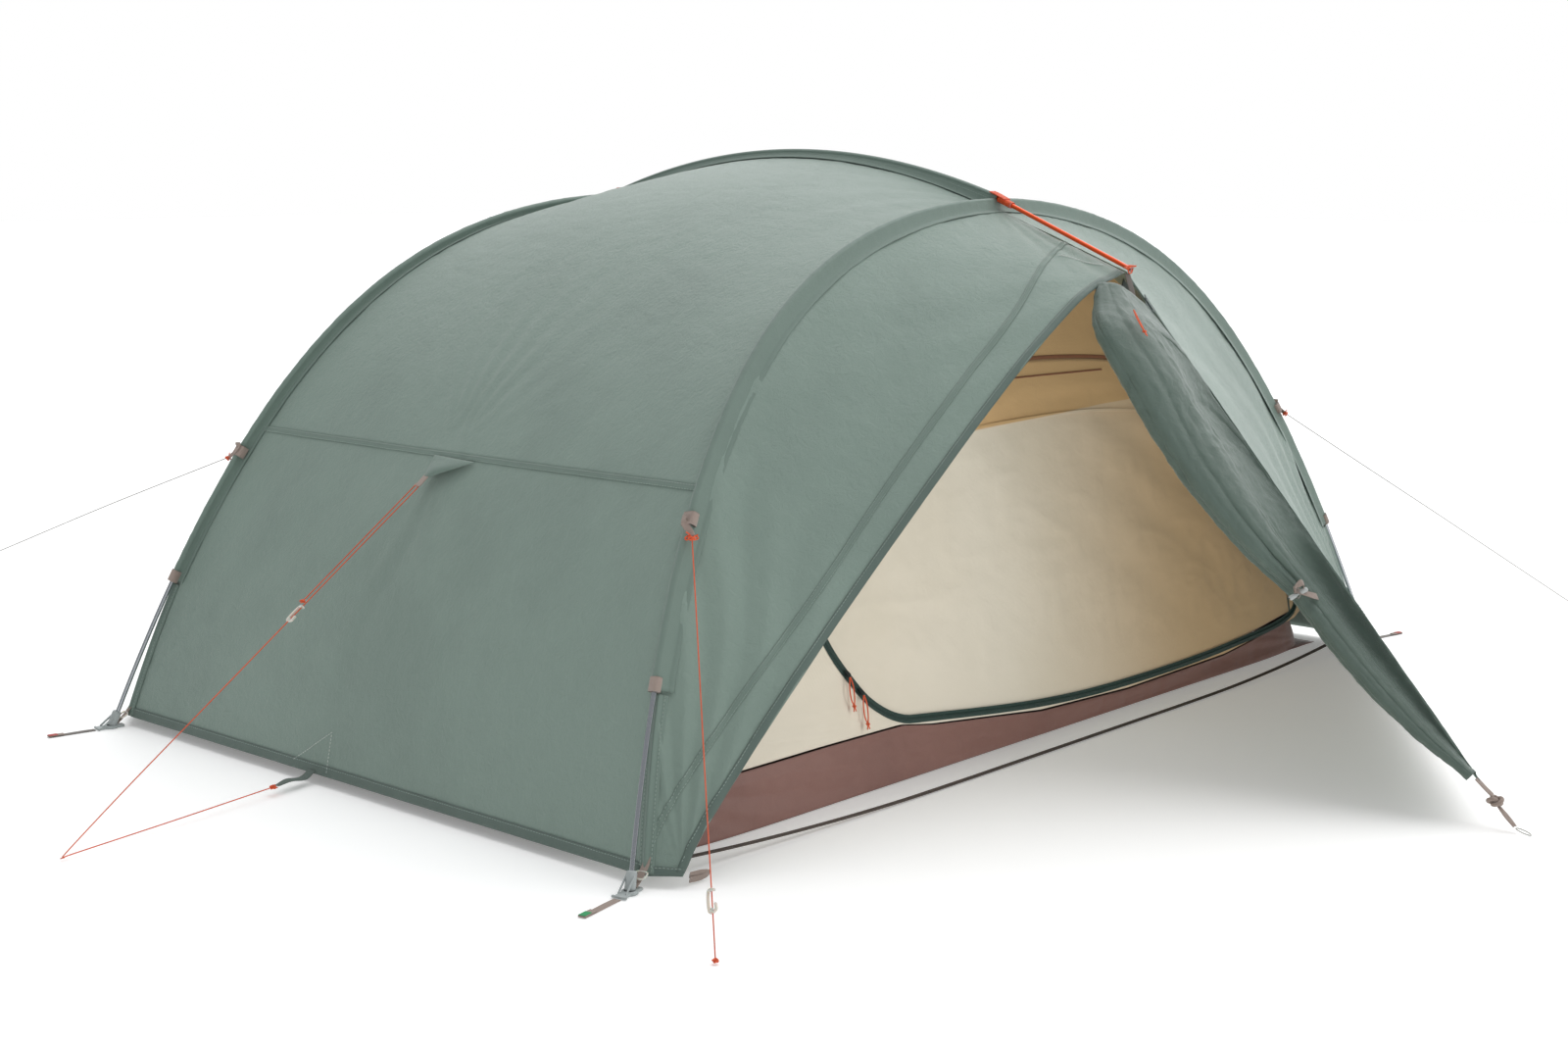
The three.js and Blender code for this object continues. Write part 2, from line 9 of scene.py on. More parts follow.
import bpy
import numpy as np
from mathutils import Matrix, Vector

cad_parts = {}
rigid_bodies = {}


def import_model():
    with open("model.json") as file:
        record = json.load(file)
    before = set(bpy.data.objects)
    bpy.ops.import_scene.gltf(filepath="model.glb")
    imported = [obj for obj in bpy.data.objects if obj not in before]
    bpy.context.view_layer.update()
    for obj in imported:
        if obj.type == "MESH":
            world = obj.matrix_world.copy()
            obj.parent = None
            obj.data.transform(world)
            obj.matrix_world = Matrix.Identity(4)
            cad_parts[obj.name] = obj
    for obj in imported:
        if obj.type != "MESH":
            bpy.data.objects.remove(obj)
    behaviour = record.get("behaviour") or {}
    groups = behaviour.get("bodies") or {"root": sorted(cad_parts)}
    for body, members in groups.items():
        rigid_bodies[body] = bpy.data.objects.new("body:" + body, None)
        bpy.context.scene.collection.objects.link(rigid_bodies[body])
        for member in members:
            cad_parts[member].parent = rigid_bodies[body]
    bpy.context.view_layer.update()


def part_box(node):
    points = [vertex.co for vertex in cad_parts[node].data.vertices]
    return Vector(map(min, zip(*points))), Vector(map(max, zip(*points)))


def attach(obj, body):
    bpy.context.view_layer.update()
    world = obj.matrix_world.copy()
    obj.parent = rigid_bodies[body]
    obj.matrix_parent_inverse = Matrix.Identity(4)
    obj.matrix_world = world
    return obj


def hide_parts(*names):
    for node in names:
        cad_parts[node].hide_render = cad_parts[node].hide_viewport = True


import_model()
scene = bpy.context.scene
TAU = 2 * math.pi
FRONT, REAR, LEFT, RIGHT = -1, 1, -1, 1
FACES = {"front": FRONT, "rear": REAR}
SIDES = {"left": LEFT, "right": RIGHT}


# ---- Camera ----
def aimed(thing, place, target):
    """Puts a camera or light at a place, looking at the target."""
    thing.location = place
    thing.rotation_euler = (Vector(target) - Vector(place)).to_track_quat("-Z", "Y").to_euler()
    scene.collection.objects.link(thing)
    return thing


lens = bpy.data.cameras.new("camera")
lens.sensor_width = 36
lens.lens = 49.4
scene.camera = aimed(bpy.data.objects.new("camera", lens), (-3.6725, -3.2781, 1.1920), (-0.028, 0, 0.378))


# ---- Nodes and materials ----
def linear(colour, alpha=1.0):
    """An sRGB hex value as linear red, green, blue and alpha."""
    parts = [int(colour[i : i + 2], 16) / 255 for i in (1, 3, 5)]
    return [c / 12.92 if c <= 0.04045 else ((c + 0.055) / 1.055) ** 2.4 for c in parts] + [alpha]


def add_node(tree, kind, inputs=None, **settings):
    """Adds one node with its settings. An input that is a socket is linked, any other is a value."""
    made = tree.nodes.new(kind)
    for key, value in settings.items():
        setattr(made, key, value)
    for key, value in (inputs or {}).items():
        if isinstance(value, bpy.types.NodeSocket):
            tree.links.new(value, made.inputs[key])
        else:
            made.inputs[key].default_value = value
    return made


def new_material(name, colour, sockets):
    """A material with one Principled shader, and that shader's values."""
    made = bpy.data.materials.new(name)
    made.use_nodes = True
    shader = made.node_tree.nodes["Principled BSDF"]
    shader.inputs["Base Color"].default_value = linear(colour)
    for key, value in sockets.items():
        shader.inputs[key].default_value = value
    made.diffuse_color = linear(colour)
    return made, made.node_tree, shader


def woven(name, colour, deep, thread, crumple=(0.02, 0.4), rough=0.6, sheen=0.25, bump=0.35, relief=0.0006):
    """Cloth or webbing: two crossed bands of threads on the piece's own map, over a fine
    crumple, and a slow drift between two colours. thread is the spacing in metres, and
    crumple is the size of the creases in metres and their share of the bump."""
    made, tree, shader = new_material(
        name, colour, {"Roughness": rough, "Sheen Weight": sheen, "Sheen Roughness": 0.4, "IOR": 1.5}
    )
    place = add_node(tree, "ShaderNodeTexCoord")
    threads = []
    for direction in ("X", "Y"):
        wave = add_node(
            tree,
            "ShaderNodeTexWave",
            {"Vector": place.outputs["UV"], "Scale": TAU / thread / 20, "Distortion": 0.3, "Detail": 1.0},
            bands_direction=direction,
        )
        threads.append(wave.outputs["Fac"])
    weave = add_node(tree, "ShaderNodeMath", {0: threads[0], 1: threads[1]}, operation="MAXIMUM")
    creases = add_node(
        tree,
        "ShaderNodeTexNoise",
        {
            "Vector": place.outputs["Object"], "Scale": 1 / crumple[0], "Detail": 6.0,
            "Roughness": 0.62, "Distortion": 0.9
        },
    )
    height = add_node(
        tree,
        "ShaderNodeMath",
        {0: creases.outputs["Fac"], 1: crumple[1] * 10},
        operation="MULTIPLY",
    )
    both = add_node(tree, "ShaderNodeMath", {0: weave.outputs[0], 1: height.outputs[0]}, operation="ADD")
    surface = add_node(
        tree, "ShaderNodeBump", {"Height": both.outputs[0], "Strength": bump, "Distance": relief}
    )
    drift = add_node(
        tree, "ShaderNodeTexNoise", {
            "Vector": place.outputs["Object"], "Scale": 2.3, "Detail": 5.0, "Roughness": 0.6
        }
    )
    shade = add_node(
        tree,
        "ShaderNodeMapRange",
        {"Value": drift.outputs["Fac"], "From Min": 0.35, "From Max": 0.65, "To Min": 0.0, "To Max": 0.7},
    )
    dark_thread = add_node(
        tree,
        "ShaderNodeMath",
        {0: weave.outputs[0], 1: -0.3, 2: shade.outputs["Result"]},
        operation="MULTIPLY_ADD",
        use_clamp=True,
    )
    tint = add_node(
        tree,
        "ShaderNodeMix",
        {"Factor": dark_thread.outputs[0], 6: linear(colour), 7: linear(deep)},
        data_type="RGBA",
    )
    tree.links.new(tint.outputs[2], shader.inputs["Base Color"])
    tree.links.new(surface.outputs["Normal"], shader.inputs["Normal"])
    return made


def tan_panel_and_painted_shade(cloth_material, colour):
    """Turns a cloth to a second colour above the level seam of the front wall, the tan of the mesh panel,
    and blends in more and more of it towards the right-hand side as painted shade, where less light reaches."""
    tree = cloth_material.node_tree
    shader = tree.nodes["Principled BSDF"]
    first = shader.inputs["Base Color"].links[0].from_socket
    place = add_node(tree, "ShaderNodeTexCoord")
    parts = add_node(tree, "ShaderNodeSeparateXYZ", {0: place.outputs["Object"]})
    sloped = add_node(
        tree, "ShaderNodeMath", {
            0: parts.outputs["X"], 1: -0.03, 2: parts.outputs["Z"]
        }, operation="MULTIPLY_ADD"
    )
    above = add_node(
        tree,
        "ShaderNodeMapRange",
        {"Value": sloped.outputs[0], "From Min": 0.648, "From Max": 0.652, "To Min": 0.0, "To Max": 1.0},
    )
    # Painted shade: the tan share grows towards the right-hand side, standing for the shade there.
    painted_shade_rightward = add_node(
        tree,
        "ShaderNodeMapRange",
        {"Value": parts.outputs["X"], "From Min": -0.15, "From Max": 0.75, "To Min": 0.0, "To Max": 0.85},
        interpolation_type="SMOOTHSTEP",
    )
    share = add_node(
        tree, "ShaderNodeMath", {
            0: above.outputs["Result"], 1: painted_shade_rightward.outputs["Result"]
        }, operation="MAXIMUM"
    )
    both = add_node(
        tree, "ShaderNodeMix", {"Factor": share.outputs[0], 6: first, 7: linear(colour)}, data_type="RGBA"
    )
    tree.links.new(both.outputs[2], shader.inputs["Base Color"])


def smooth_finish(name, colour, rough, grain, bump, sockets=None, streak=(1, 1, 1)):
    """Metal or moulded plastic: one colour with a fine noise in its roughness and relief.
    grain is the noise's size in metres, and streak stretches it along an axis."""
    made, tree, shader = new_material(name, colour, {"Roughness": rough, **(sockets or {})})
    place = add_node(tree, "ShaderNodeTexCoord")
    spread = add_node(tree, "ShaderNodeMapping", {"Vector": place.outputs["Object"], "Scale": streak})
    noise = add_node(
        tree, "ShaderNodeTexNoise", {"Vector": spread.outputs["Vector"], "Scale": 1 / grain, "Detail": 3.0}
    )
    dull = add_node(
        tree,
        "ShaderNodeMapRange",
        {"Value": noise.outputs["Fac"], "To Min": rough * 0.75, "To Max": rough * 1.3},
    )
    relief = add_node(
        tree, "ShaderNodeBump", {"Height": noise.outputs["Fac"], "Strength": bump, "Distance": 0.0004}
    )
    tree.links.new(dull.outputs["Result"], shader.inputs["Roughness"])
    tree.links.new(relief.outputs["Normal"], shader.inputs["Normal"])
    return made


# Polyurethane-coated polyester taffeta: a tight, thin cloth with a soft sheen that keeps its
# fold creases. Real threads are 0.15 mm apart; these are drawn 1.6 mm apart so that they show.
FLY_CLOTH = woven("coated_taffeta_sage", "#83978c", "#74877d", 0.0016, (0.014, 0.75), 0.46, bump=0.6)
# The same cloth doubled over in the pole sleeves and seams, drawn darker as painted shade.
SLEEVE_PAINTED_SHADE_CLOTH = woven("doubled_taffeta_sage_painted_shade", "#73867c", "#687a71", 0.0016, crumple=(0.012, 0.5))
# The rolled door: many turns of the same cloth, drawn darker as painted shade.
ROLL_PAINTED_SHADE_CLOTH = woven("rolled_taffeta_sage_painted_shade", "#5c6e64", "#506157", 0.0016, (0.014, 0.75), 0.46, bump=0.6)
# The storm flap's cloth, drawn near-black as painted shade for the shade of the door.
FLAP_PAINTED_SHADE_CLOTH = woven("taffeta_sage_painted_shade", "#36423c", "#2b3631", 0.0016, (0.014, 0.75), 0.5, bump=0.6)
# A folded and twice-sewn hem: the same cloth in three layers, drawn darker as painted shade.
HEM_PAINTED_SHADE_CLOTH = woven("hem_taffeta_sage_painted_shade", "#5c6d65", "#52625a", 0.0016, crumple=(0.01, 0.5))
# Uncoated polyamide taffeta: soft, matte and slightly creased.
INNER_CLOTH = woven("inner_taffeta_cream", "#e3dac8", "#d9cfba", 0.0018, crumple=(0.03, 0.5), rough=0.85)
# Above the seam the tan is the mesh panel's own colour; the share that grows to the right is painted shade.
tan_panel_and_painted_shade(INNER_CLOTH, "#cfab79")
# Coated groundsheet polyamide: heavier, with a wet-looking sheen on its folds.
GROUND_CLOTH = woven(
    "groundsheet_taffeta_maroon", "#835d53", "#6e4b43", 0.002, crumple=(0.025, 0.5), rough=0.5
)
# Polyester webbing, 1.2 mm thick: ribs across the strap.
TAUPE_WEBBING = woven("webbing_taupe", "#a5948a", "#86766d", 0.0022, rough=0.85, bump=0.7, relief=0.0008)
GREY_WEBBING = woven("webbing_grey", "#7d7771", "#625c57", 0.0022, rough=0.85, bump=0.7, relief=0.0008)
STRAP_WEBBING = woven(
    "webbing_dark_brown", "#584b43", "#463b35", 0.0022, rough=0.85, bump=0.7, relief=0.0008
)
GREEN_WEBBING = woven("webbing_sage", "#64726b", "#525e58", 0.0022, rough=0.85, bump=0.7, relief=0.0008)
ORANGE_WEBBING = woven("webbing_orange", "#e8541c", "#c94514", 0.0022, rough=0.75, bump=0.7, relief=0.0008)
# Braided polyester cord: a bright matte sheath with plaited strands.
ORANGE_CORD = woven("braided_cord_orange", "#f0602c", "#cf4617", 0.0011, rough=0.7, bump=0.8, relief=0.0005)
PALE_CORD = woven("braided_cord_grey", "#8d8781", "#6f6a65", 0.0011, rough=0.7, bump=0.8, relief=0.0005)
# Polyester sewing thread.
THREAD = woven("sewing_thread_sage", "#9fb0a6", "#8a9b91", 0.0008, rough=0.6)
PALE_THREAD = woven("sewing_thread_pale", "#d9dfda", "#c2cac4", 0.0008, rough=0.6)
# Coil zip: woven polyester tape with a moulded coil down its middle.
ZIP_TAPE = woven("zip_tape_dark_green", "#1d3b33", "#142a24", 0.0018, rough=0.7, bump=0.6)
ZIP_COIL = smooth_finish("zip_coil_dark_green", "#16302a", 0.4, 0.002, 0.5)
TAG_GREEN = woven("woven_tag_green", "#1f9a5b", "#167a47", 0.0014, rough=0.7)
TAG_RED = woven("woven_tag_red", "#b8352a", "#942a21", 0.0014, rough=0.7)
PIPING = woven("piping_red_brown", "#8a5a3c", "#744a31", 0.0016, rough=0.7)
# Drawn and anodised aluminium tube: bright, with faint marks along its length.
POLE_ALLOY = smooth_finish("anodised_aluminium", "#a9adb1", 0.24, 0.004, 0.08, {"Metallic": 1.0})
ORANGE_ALLOY = smooth_finish(
    "anodised_aluminium_orange", "#f0561a", 0.32, 0.004, 0.06, {"Metallic": 0.55, "Coat Weight": 0.3}
)
FERRULE_ALLOY = smooth_finish("turned_aluminium", "#8d9296", 0.3, 0.003, 0.1, {"Metallic": 1.0})
# Acetal mouldings: dense, slightly waxy, with a fine spark-eroded texture.
FOOT_ACETAL = smooth_finish("acetal_grey", "#a9b0af", 0.48, 0.0012, 0.3, {"IOR": 1.48})
RUNNER_ACETAL = smooth_finish(
    "acetal_natural", "#d5d1c6", 0.35, 0.0015, 0.15, {"IOR": 1.48, "Subsurface Weight": 0.2}
)
TOGGLE_ACETAL = smooth_finish("acetal_pale_grey", "#b9bdbb", 0.42, 0.0012, 0.2, {"IOR": 1.48})
DARK_METAL = smooth_finish("painted_zinc_dark", "#1b2523", 0.38, 0.001, 0.2, {"Metallic": 0.4})
STEEL_WIRE = smooth_finish("bright_steel_wire", "#b2b2ae", 0.25, 0.002, 0.1, {"Metallic": 1.0})


# ---- Making pieces ----
def unit(v):
    """Vectors of length 1 along the last axis."""
    return v / np.maximum(np.linalg.norm(v, axis=-1, keepdims=True), 1e-12)


def flat(points):
    return np.asarray(points, float).reshape(-1, 3)


def travelled(line):
    """Distance gone at each point of a line, from 0 at its start."""
    return np.concatenate([[0], np.cumsum(np.linalg.norm(np.diff(line, axis=0), axis=-1))])


def make_piece(name, points, faces, material, slot, body="tent", uv=None, flat_edges=False):
    """A mesh piece that rides on a body, its faces turned outwards: six times the volume that
    they enclose, summed over fans of triangles, says which way they point."""
    points = flat(points)
    volume = 0.0
    for size in {len(f) for f in faces} if not isinstance(faces, np.ndarray) else {faces.shape[1]}:
        ring = np.array(
            [f for f in faces if len(f) == size]
        ) if not isinstance(faces, np.ndarray) else faces
        for k in range(1, size - 1):
            a, b, c = points[ring[:, 0]], points[ring[:, k]], points[ring[:, k + 1]]
            volume += float((a * np.cross(b, c)).sum())
    if volume < 0:
        faces = faces[:, ::-1] if isinstance(faces, np.ndarray) else [f[::-1] for f in faces]
    mesh = bpy.data.meshes.new(name)
    mesh.from_pydata(points.tolist(), [], faces.tolist() if isinstance(faces, np.ndarray) else faces)
    if uv is not None:
        layer = mesh.uv_layers.new(name="cloth")
        corners = np.zeros(len(mesh.loops), dtype=np.int32)
        mesh.loops.foreach_get("vertex_index", corners)
        layer.data.foreach_set("uv", np.asarray(uv, float).reshape(-1, 2)[corners].ravel())
    if not flat_edges:
        mesh.polygons.foreach_set("use_smooth", np.ones(len(mesh.polygons), dtype=bool))
    mesh.materials.append(material)
    piece = bpy.data.objects.new(name, mesh)
    scene.collection.objects.link(piece)
    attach(piece, body)
    return piece


def join_shapes(shapes):
    """Several (points, faces) lists as one."""
    points, faces, start = [], [], 0
    for p, f in shapes:
        p = flat(p)
        points.append(p)
        faces += [[int(i) + start for i in face] for face in f]
        start += len(p)
    return np.concatenate(points), faces


def grid_faces(rows, columns, loop=False):
    """The quads of a grid of points, row by row. With loop, the last column meets the first."""
    i, j = np.meshgrid(np.arange(rows - 1), np.arange(columns if loop else columns - 1), indexing="ij")
    k = (j + 1) % columns
    return np.stack(
        [i * columns + j, (i + 1) * columns + j, (i + 1) * columns + k, i * columns + k], -1
    ).reshape(-1, 4)


def normals(p, loop=False):
    """Unit normals of a grid of points: the cross product of its two central differences."""
    across = np.gradient(p, axis=0)
    if loop:
        along = (np.roll(p, -1, axis=1) - np.roll(p, 1, axis=1)) / 2
    else:
        along = np.gradient(p, axis=1)
    return unit(np.cross(across, along))


def lengths(p):
    """Distance along each row and column of a grid, in metres, as a map for the weave."""
    down = np.concatenate([[0], np.cumsum(np.linalg.norm(np.diff(p, axis=0), axis=-1).mean(axis=1))])
    over = np.concatenate([[0], np.cumsum(np.linalg.norm(np.diff(p, axis=1), axis=-1).mean(axis=0))])
    return np.stack(np.meshgrid(down, over, indexing="ij"), -1)


def shell(p, thick, loop=False):
    """A grid of points as a closed shell of cloth: each point moves half the thickness along
    the normal for the outer face and half against it for the inner one, and a rim joins them."""
    rows, columns = p.shape[:2]
    n = normals(p, loop) * thick / 2
    count = rows * columns
    top = grid_faces(rows, columns, loop)
    bottom = top[:, ::-1] + count
    ids = np.arange(count).reshape(rows, columns)
    if loop:
        edges = [
            np.stack([ids[0], np.roll(ids[0], -1)], -1),
            np.stack([np.roll(ids[-1], -1), ids[-1]], -1),
        ]
    else:
        border = np.concatenate([ids[:-1, 0], ids[-1, :-1], ids[:0:-1, -1], ids[0, :0:-1]])
        edges = [np.stack([np.roll(border, -1), border], -1)]
    edge = np.concatenate(edges)
    rim = np.stack([edge[:, 0], edge[:, 1], edge[:, 1] + count, edge[:, 0] + count], -1)
    return np.concatenate([flat(p + n), flat(p - n)]), np.concatenate([top, bottom, rim])


def cloth(name, p, material, slot, thick=0.0012, body="tent", loop=False):
    """A cloth piece from a grid of points."""
    points, faces = shell(p, thick, loop)
    uv = np.tile(lengths(p).reshape(-1, 2), (2, 1))
    return make_piece(name, points, faces, material, slot, body, uv)


def grid(surface, rows, columns, s=(0, 1), t=(0, 1)):
    """A surface's points for s down the rows and t along the columns."""
    return surface(*np.meshgrid(np.linspace(*s, rows), np.linspace(*t, columns), indexing="ij"))


def skin(rings):
    """Rings of points, each closed on itself, joined in order, with a face over each end."""
    rows, columns = rings.shape[:2]
    faces = grid_faces(rows, columns, loop=True).tolist()
    faces.append(list(range(columns))[::-1])
    faces.append([(rows - 1) * columns + i for i in range(columns)])
    return flat(rings), faces


def ring_map(rings):
    """The weave's map on rings: distance along them and round them."""
    along = np.concatenate([[0], np.cumsum(np.linalg.norm(np.diff(rings, axis=0), axis=-1).mean(axis=1))])
    round_it = np.linalg.norm(np.roll(rings, -1, axis=1) - rings, axis=-1).mean(axis=0)
    over = np.concatenate([[0], np.cumsum(round_it)[:-1]])
    return np.stack(np.meshgrid(along, over, indexing="ij"), -1)


def frames(path, up):
    """Tangent, side and up along a path, up being as near the given one as the path allows."""
    tangent = unit(np.gradient(path, axis=0))
    up = np.broadcast_to(np.asarray(up, float), path.shape)
    up = unit(up - (up * tangent).sum(-1, keepdims=True) * tangent)
    return tangent, np.cross(tangent, up), up


def carried(path, profile, up=(0, 0, 1), grow=1.0):
    """A profile of (side, up) points carried along a path. grow scales it at each point."""
    _, side, up = frames(path, up)
    profile = np.asarray(profile, float)[None] * np.broadcast_to(
        np.asarray(grow, float).reshape(-1, 1, 1), (len(path), 1, 1)
    )
    return path[:, None] + profile[..., :1] * side[:, None] + profile[..., 1:] * up[:, None]


def circle(radius, count=16):
    """Points round a circle."""
    a = np.arange(count) / count * TAU
    return radius * np.stack([np.cos(a), np.sin(a)], -1)


def rounded(width, height, radius, steps=3):
    """The outline of a bar's section: a rectangle with round corners."""
    a = np.linspace(0, TAU / 4, steps + 1)
    arc = np.stack([np.cos(a), np.sin(a)], -1) * radius
    corners = []
    for k, (x, y) in enumerate(((1, 1), (-1, 1), (-1, -1), (1, -1))):
        spun = arc @ np.linalg.matrix_power(np.array([[0, 1], [-1, 0]]), k)
        corners.append(spun + [x * (width / 2 - radius), y * (height / 2 - radius)])
    return np.concatenate(corners)


def through(points, count):
    """A smooth line through points, evenly spaced: a Catmull-Rom cubic between each pair."""
    p = np.asarray(points, float)
    p = np.concatenate([[2 * p[0] - p[1]], p, [2 * p[-1] - p[-2]]])
    t = np.linspace(0, 1, 40)[:, None]
    line = []
    for a, b, c, d in zip(p[:-3], p[1:-2], p[2:-1], p[3:]):
        line.append(
            0.5 * (
                2 * b + (c - a) * t + (2 * a - 5 * b + 4 * c - d) * t**2 + (3 * b - a - 3 * c + d) * t**3
            )
        )
    return even(np.concatenate(line), count)


def smooth_rows(control, steps=5):
    """Control points along axis 1 joined by Catmull-Rom cubics, for every row at once."""
    first, last = 2 * control[:, :1] - control[:, 1:2], 2 * control[:, -1:] - control[:, -2:-1]
    p = np.concatenate([first, control, last], 1)
    t = np.arange(steps)[:, None] / steps
    a, b, c, d = (p[:, k : p.shape[1] - 3 + k, None] for k in range(4))
    inner = 0.5 * (
        2 * b + (c - a) * t + (2 * a - 5 * b + 4 * c - d) * t**2 + (3 * b - a - 3 * c + d) * t**3
    )
    return np.concatenate([inner.reshape(len(p), -1, 3), control[:, -1:]], 1)


def even(line, count):
    """The same line with its points evenly spaced."""
    gone = travelled(line)
    at = np.linspace(0, gone[-1], count)
    return np.stack([np.interp(at, gone, line[:, k]) for k in range(3)], -1)


def tape(name, points, up, width, material, slot, thick=0.0016, count=40, body="tent", **more):
    """A strap of webbing: a thin bar with round edges carried along a smooth line."""
    rings = carried(through(points, count), rounded(width, thick, thick * 0.45), up, **more)
    return make_piece(name, *skin(rings), material, slot, body, ring_map(rings))


def stitches(name, lines, material, length=0.0042, gap=0.0028, half=0.00045, slot="fly_cloth", body="tent"):
    """Sewing thread: a short four-sided bar for each stitch along the lines, raised a little."""
    boxes = []
    for line, up in lines:
        gone = travelled(line)
        starts = np.arange(0, gone[-1] - length, length + gap)
        ends = [
            np.stack([np.interp(starts + d, gone, line[:, k]) for k in range(3)], -1) for d in (0, length)
        ]
        ups = np.stack([np.interp(starts, gone, up[:, k]) for k in range(3)], -1)
        along = unit(ends[1] - ends[0])
        side = unit(np.cross(along, ups))
        ups = np.cross(side, along)
        corner = [
            e + half * (a * side + b * ups) for e in ends for a, b in ((1, -1), (1, 1), (-1, 1), (-1, -1))
        ]
        boxes.append(np.stack(corner, 1))
    boxes = np.concatenate(boxes)
    quads = np.array([[0, 1, 2, 3], [7, 6, 5, 4], [0, 4, 5, 1], [1, 5, 6, 2], [2, 6, 7, 3], [3, 7, 4, 0]])
    faces = (np.arange(len(boxes))[:, None, None] * 8 + quads).reshape(-1, 4)
    return make_piece(name, boxes, faces, material, slot, body, uv=flat(boxes)[:, :2], flat_edges=True)


# ---- Creases ----
def lattice(p, size, seed):
    """Smooth noise from -1 to 1: a hashed value at each corner of cubes of that size, eased
    between the corners with 3f^2 - 2f^3 along each axis."""
    q = np.asarray(p, float) / size
    low = np.floor(q).astype(np.int64)
    f = q - low
    f = f * f * (3 - 2 * f)
    total = np.zeros(q.shape[:-1])
    for dx in (0, 1):
        for dy in (0, 1):
            for dz in (0, 1):
                key = (
                    low[..., 0] + dx
                ) * 73856093 ^ (low[..., 1] + dy) * 19349663 ^ (low[..., 2] + dz) * 83492791
                key = (key ^ seed * 2654435761) & 0xFFFFFFFF
                key = ((key ^ (key >> 15)) * 2246822519) & 0xFFFFFFFF
                key = ((key ^ (key >> 13)) * 3266489917) & 0xFFFFFFFF
                share = (
                    (f[..., 0] if dx else 1 - f[..., 0])
                    * (f[..., 1] if dy else 1 - f[..., 1])
                    * (f[..., 2] if dz else 1 - f[..., 2])
                )
                total += share * ((key ^ (key >> 16)) / 2147483647.5 - 1)
    return total


def crumple(p, depth=0.001, size=0.09, seed=1):
    """Fold memory in cloth: sharp crests where smooth noise crosses zero, at three sizes,
    with the noise's own place shifted by slower noise so that the crests wander."""
    warp = np.stack([lattice(p, size * 1.7, seed + k) for k in (11, 12, 13)], -1) * size * 0.5
    total = 0
    for k, share in enumerate((0.5, 0.32, 0.18)):
        n = lattice(p + warp, size / 1.9**k, seed + k)
        total = total + share * (1 - np.abs(n)) ** 3
    return depth * (total - 0.3)


def fan(p, anchor, along, across, reach, rays, depth, spread=0.9, seed=3):
    """Creases that spread from a pulled point: a wave round it whose crests are rays. It is
    deepest one reach away, dies out beyond, and keeps within the spread angle of its middle."""
    d = p - np.asarray(anchor, float)
    a = d @ unit(np.asarray(along, float))
    b = d @ unit(np.asarray(across, float))
    r = np.hypot(a, b)
    angle = np.arctan2(b, a)
    place = np.stack([angle * 2.2, r * 3, 0 * r], -1)
    wave = np.cos(rays * angle + 2.6 * lattice(place, 1.0, seed))
    strength = (r / reach) * np.exp(1 - r / reach) * np.exp(-((angle / spread) ** 2))
    return depth * strength * (np.sign(wave) * np.abs(wave) ** 1.4)


def raised(base, height):
    """A surface moved along its own normal by a height worked out from its points."""

    def surface(s, t):
        e = 1e-3
        p = base(s, t)
        ds = base(np.minimum(s + e, 1), t) - base(np.maximum(s - e, 0), t)
        dt = base(s, np.minimum(t + e, 1)) - base(s, np.maximum(t - e, 0))
        return p + unit(np.cross(ds, dt)) * height(p)[..., None]

    return surface


def surface_line(surface, s, t, lift=0.0012, outward=1):
    """A line on a surface and its normals, lifted off it by a set amount."""
    e = 1e-3
    p = surface(s, t)
    ds = surface(np.minimum(s + e, 1), t) - surface(np.maximum(s - e, 0), t)
    dt = surface(s, np.minimum(t + e, 1)) - surface(s, np.maximum(t - e, 0))
    n = unit(np.cross(ds, dt)) * outward
    return p + n * lift, n


# ---- The frame's lines ----
HALF_SPAN, HALF_WIDTH = 1.3, 0.8
CREST_Y, CREST_Z = 0.57, 1.117
RIDGE_Z, APEX_Z = 1.127, 1.222
TIP_Y, TIP_Z = 0.908, 0.987
POLE_R = 0.0045
HEM_Z, SEAM_Z, SLEEVE_END_Z = 0.02, 0.63, 0.314


def bend(u):
    """Height of a bent rod as a share of its crest: flat at the top and steep at the feet."""
    return 1 - 0.45 * u**2 - 0.55 * np.abs(u) ** 4.4


def main_pole(u, face, inset=0.0):
    """A main pole's line: its height follows bend(u), and it leans in as it rises."""
    z = (CREST_Z - inset) * bend(u)
    y = HALF_WIDTH - (HALF_WIDTH - CREST_Y) * z / CREST_Z
    return np.stack([(HALF_SPAN - inset) * u + 0 * z, face * y, z], -1)


FINE_U = np.linspace(0, 1, 2001)


def u_at(z, crest=CREST_Z):
    """Where on a main pole it stands at a height."""
    return float(np.interp(-z, -crest * bend(FINE_U), FINE_U))


POLE_GONE = travelled(main_pole(FINE_U, REAR))


def even_u(share):
    """u at a share of the pole's length from crest to foot."""
    return np.interp(np.clip(share, 0, 1) * POLE_GONE[-1], POLE_GONE, FINE_U)


def fly_seam(u, face):
    """The fly's seam under a main pole: 14 mm below its middle line, and drawing away from
    the pole towards the ground, below the sleeve's end."""
    z = CREST_Z * bend(u)
    away = np.clip((SLEEVE_END_Z - z) / (SLEEVE_END_Z - HEM_Z), 0, 1) ** 1.3
    return main_pole(u, face, 0.014 + 0.02 * away)


HEM_U = u_at(HEM_Z, CREST_Z - 0.034)
SEAM_U = u_at(SEAM_Z, CREST_Z - 0.014)
FLY_TIP = np.array([0.003, 0.893, 0.982])
CORNER = np.array([1.225, 0.850, 0.022])
FLAP_TIP = np.array([0.003, 1.683, 0.080])


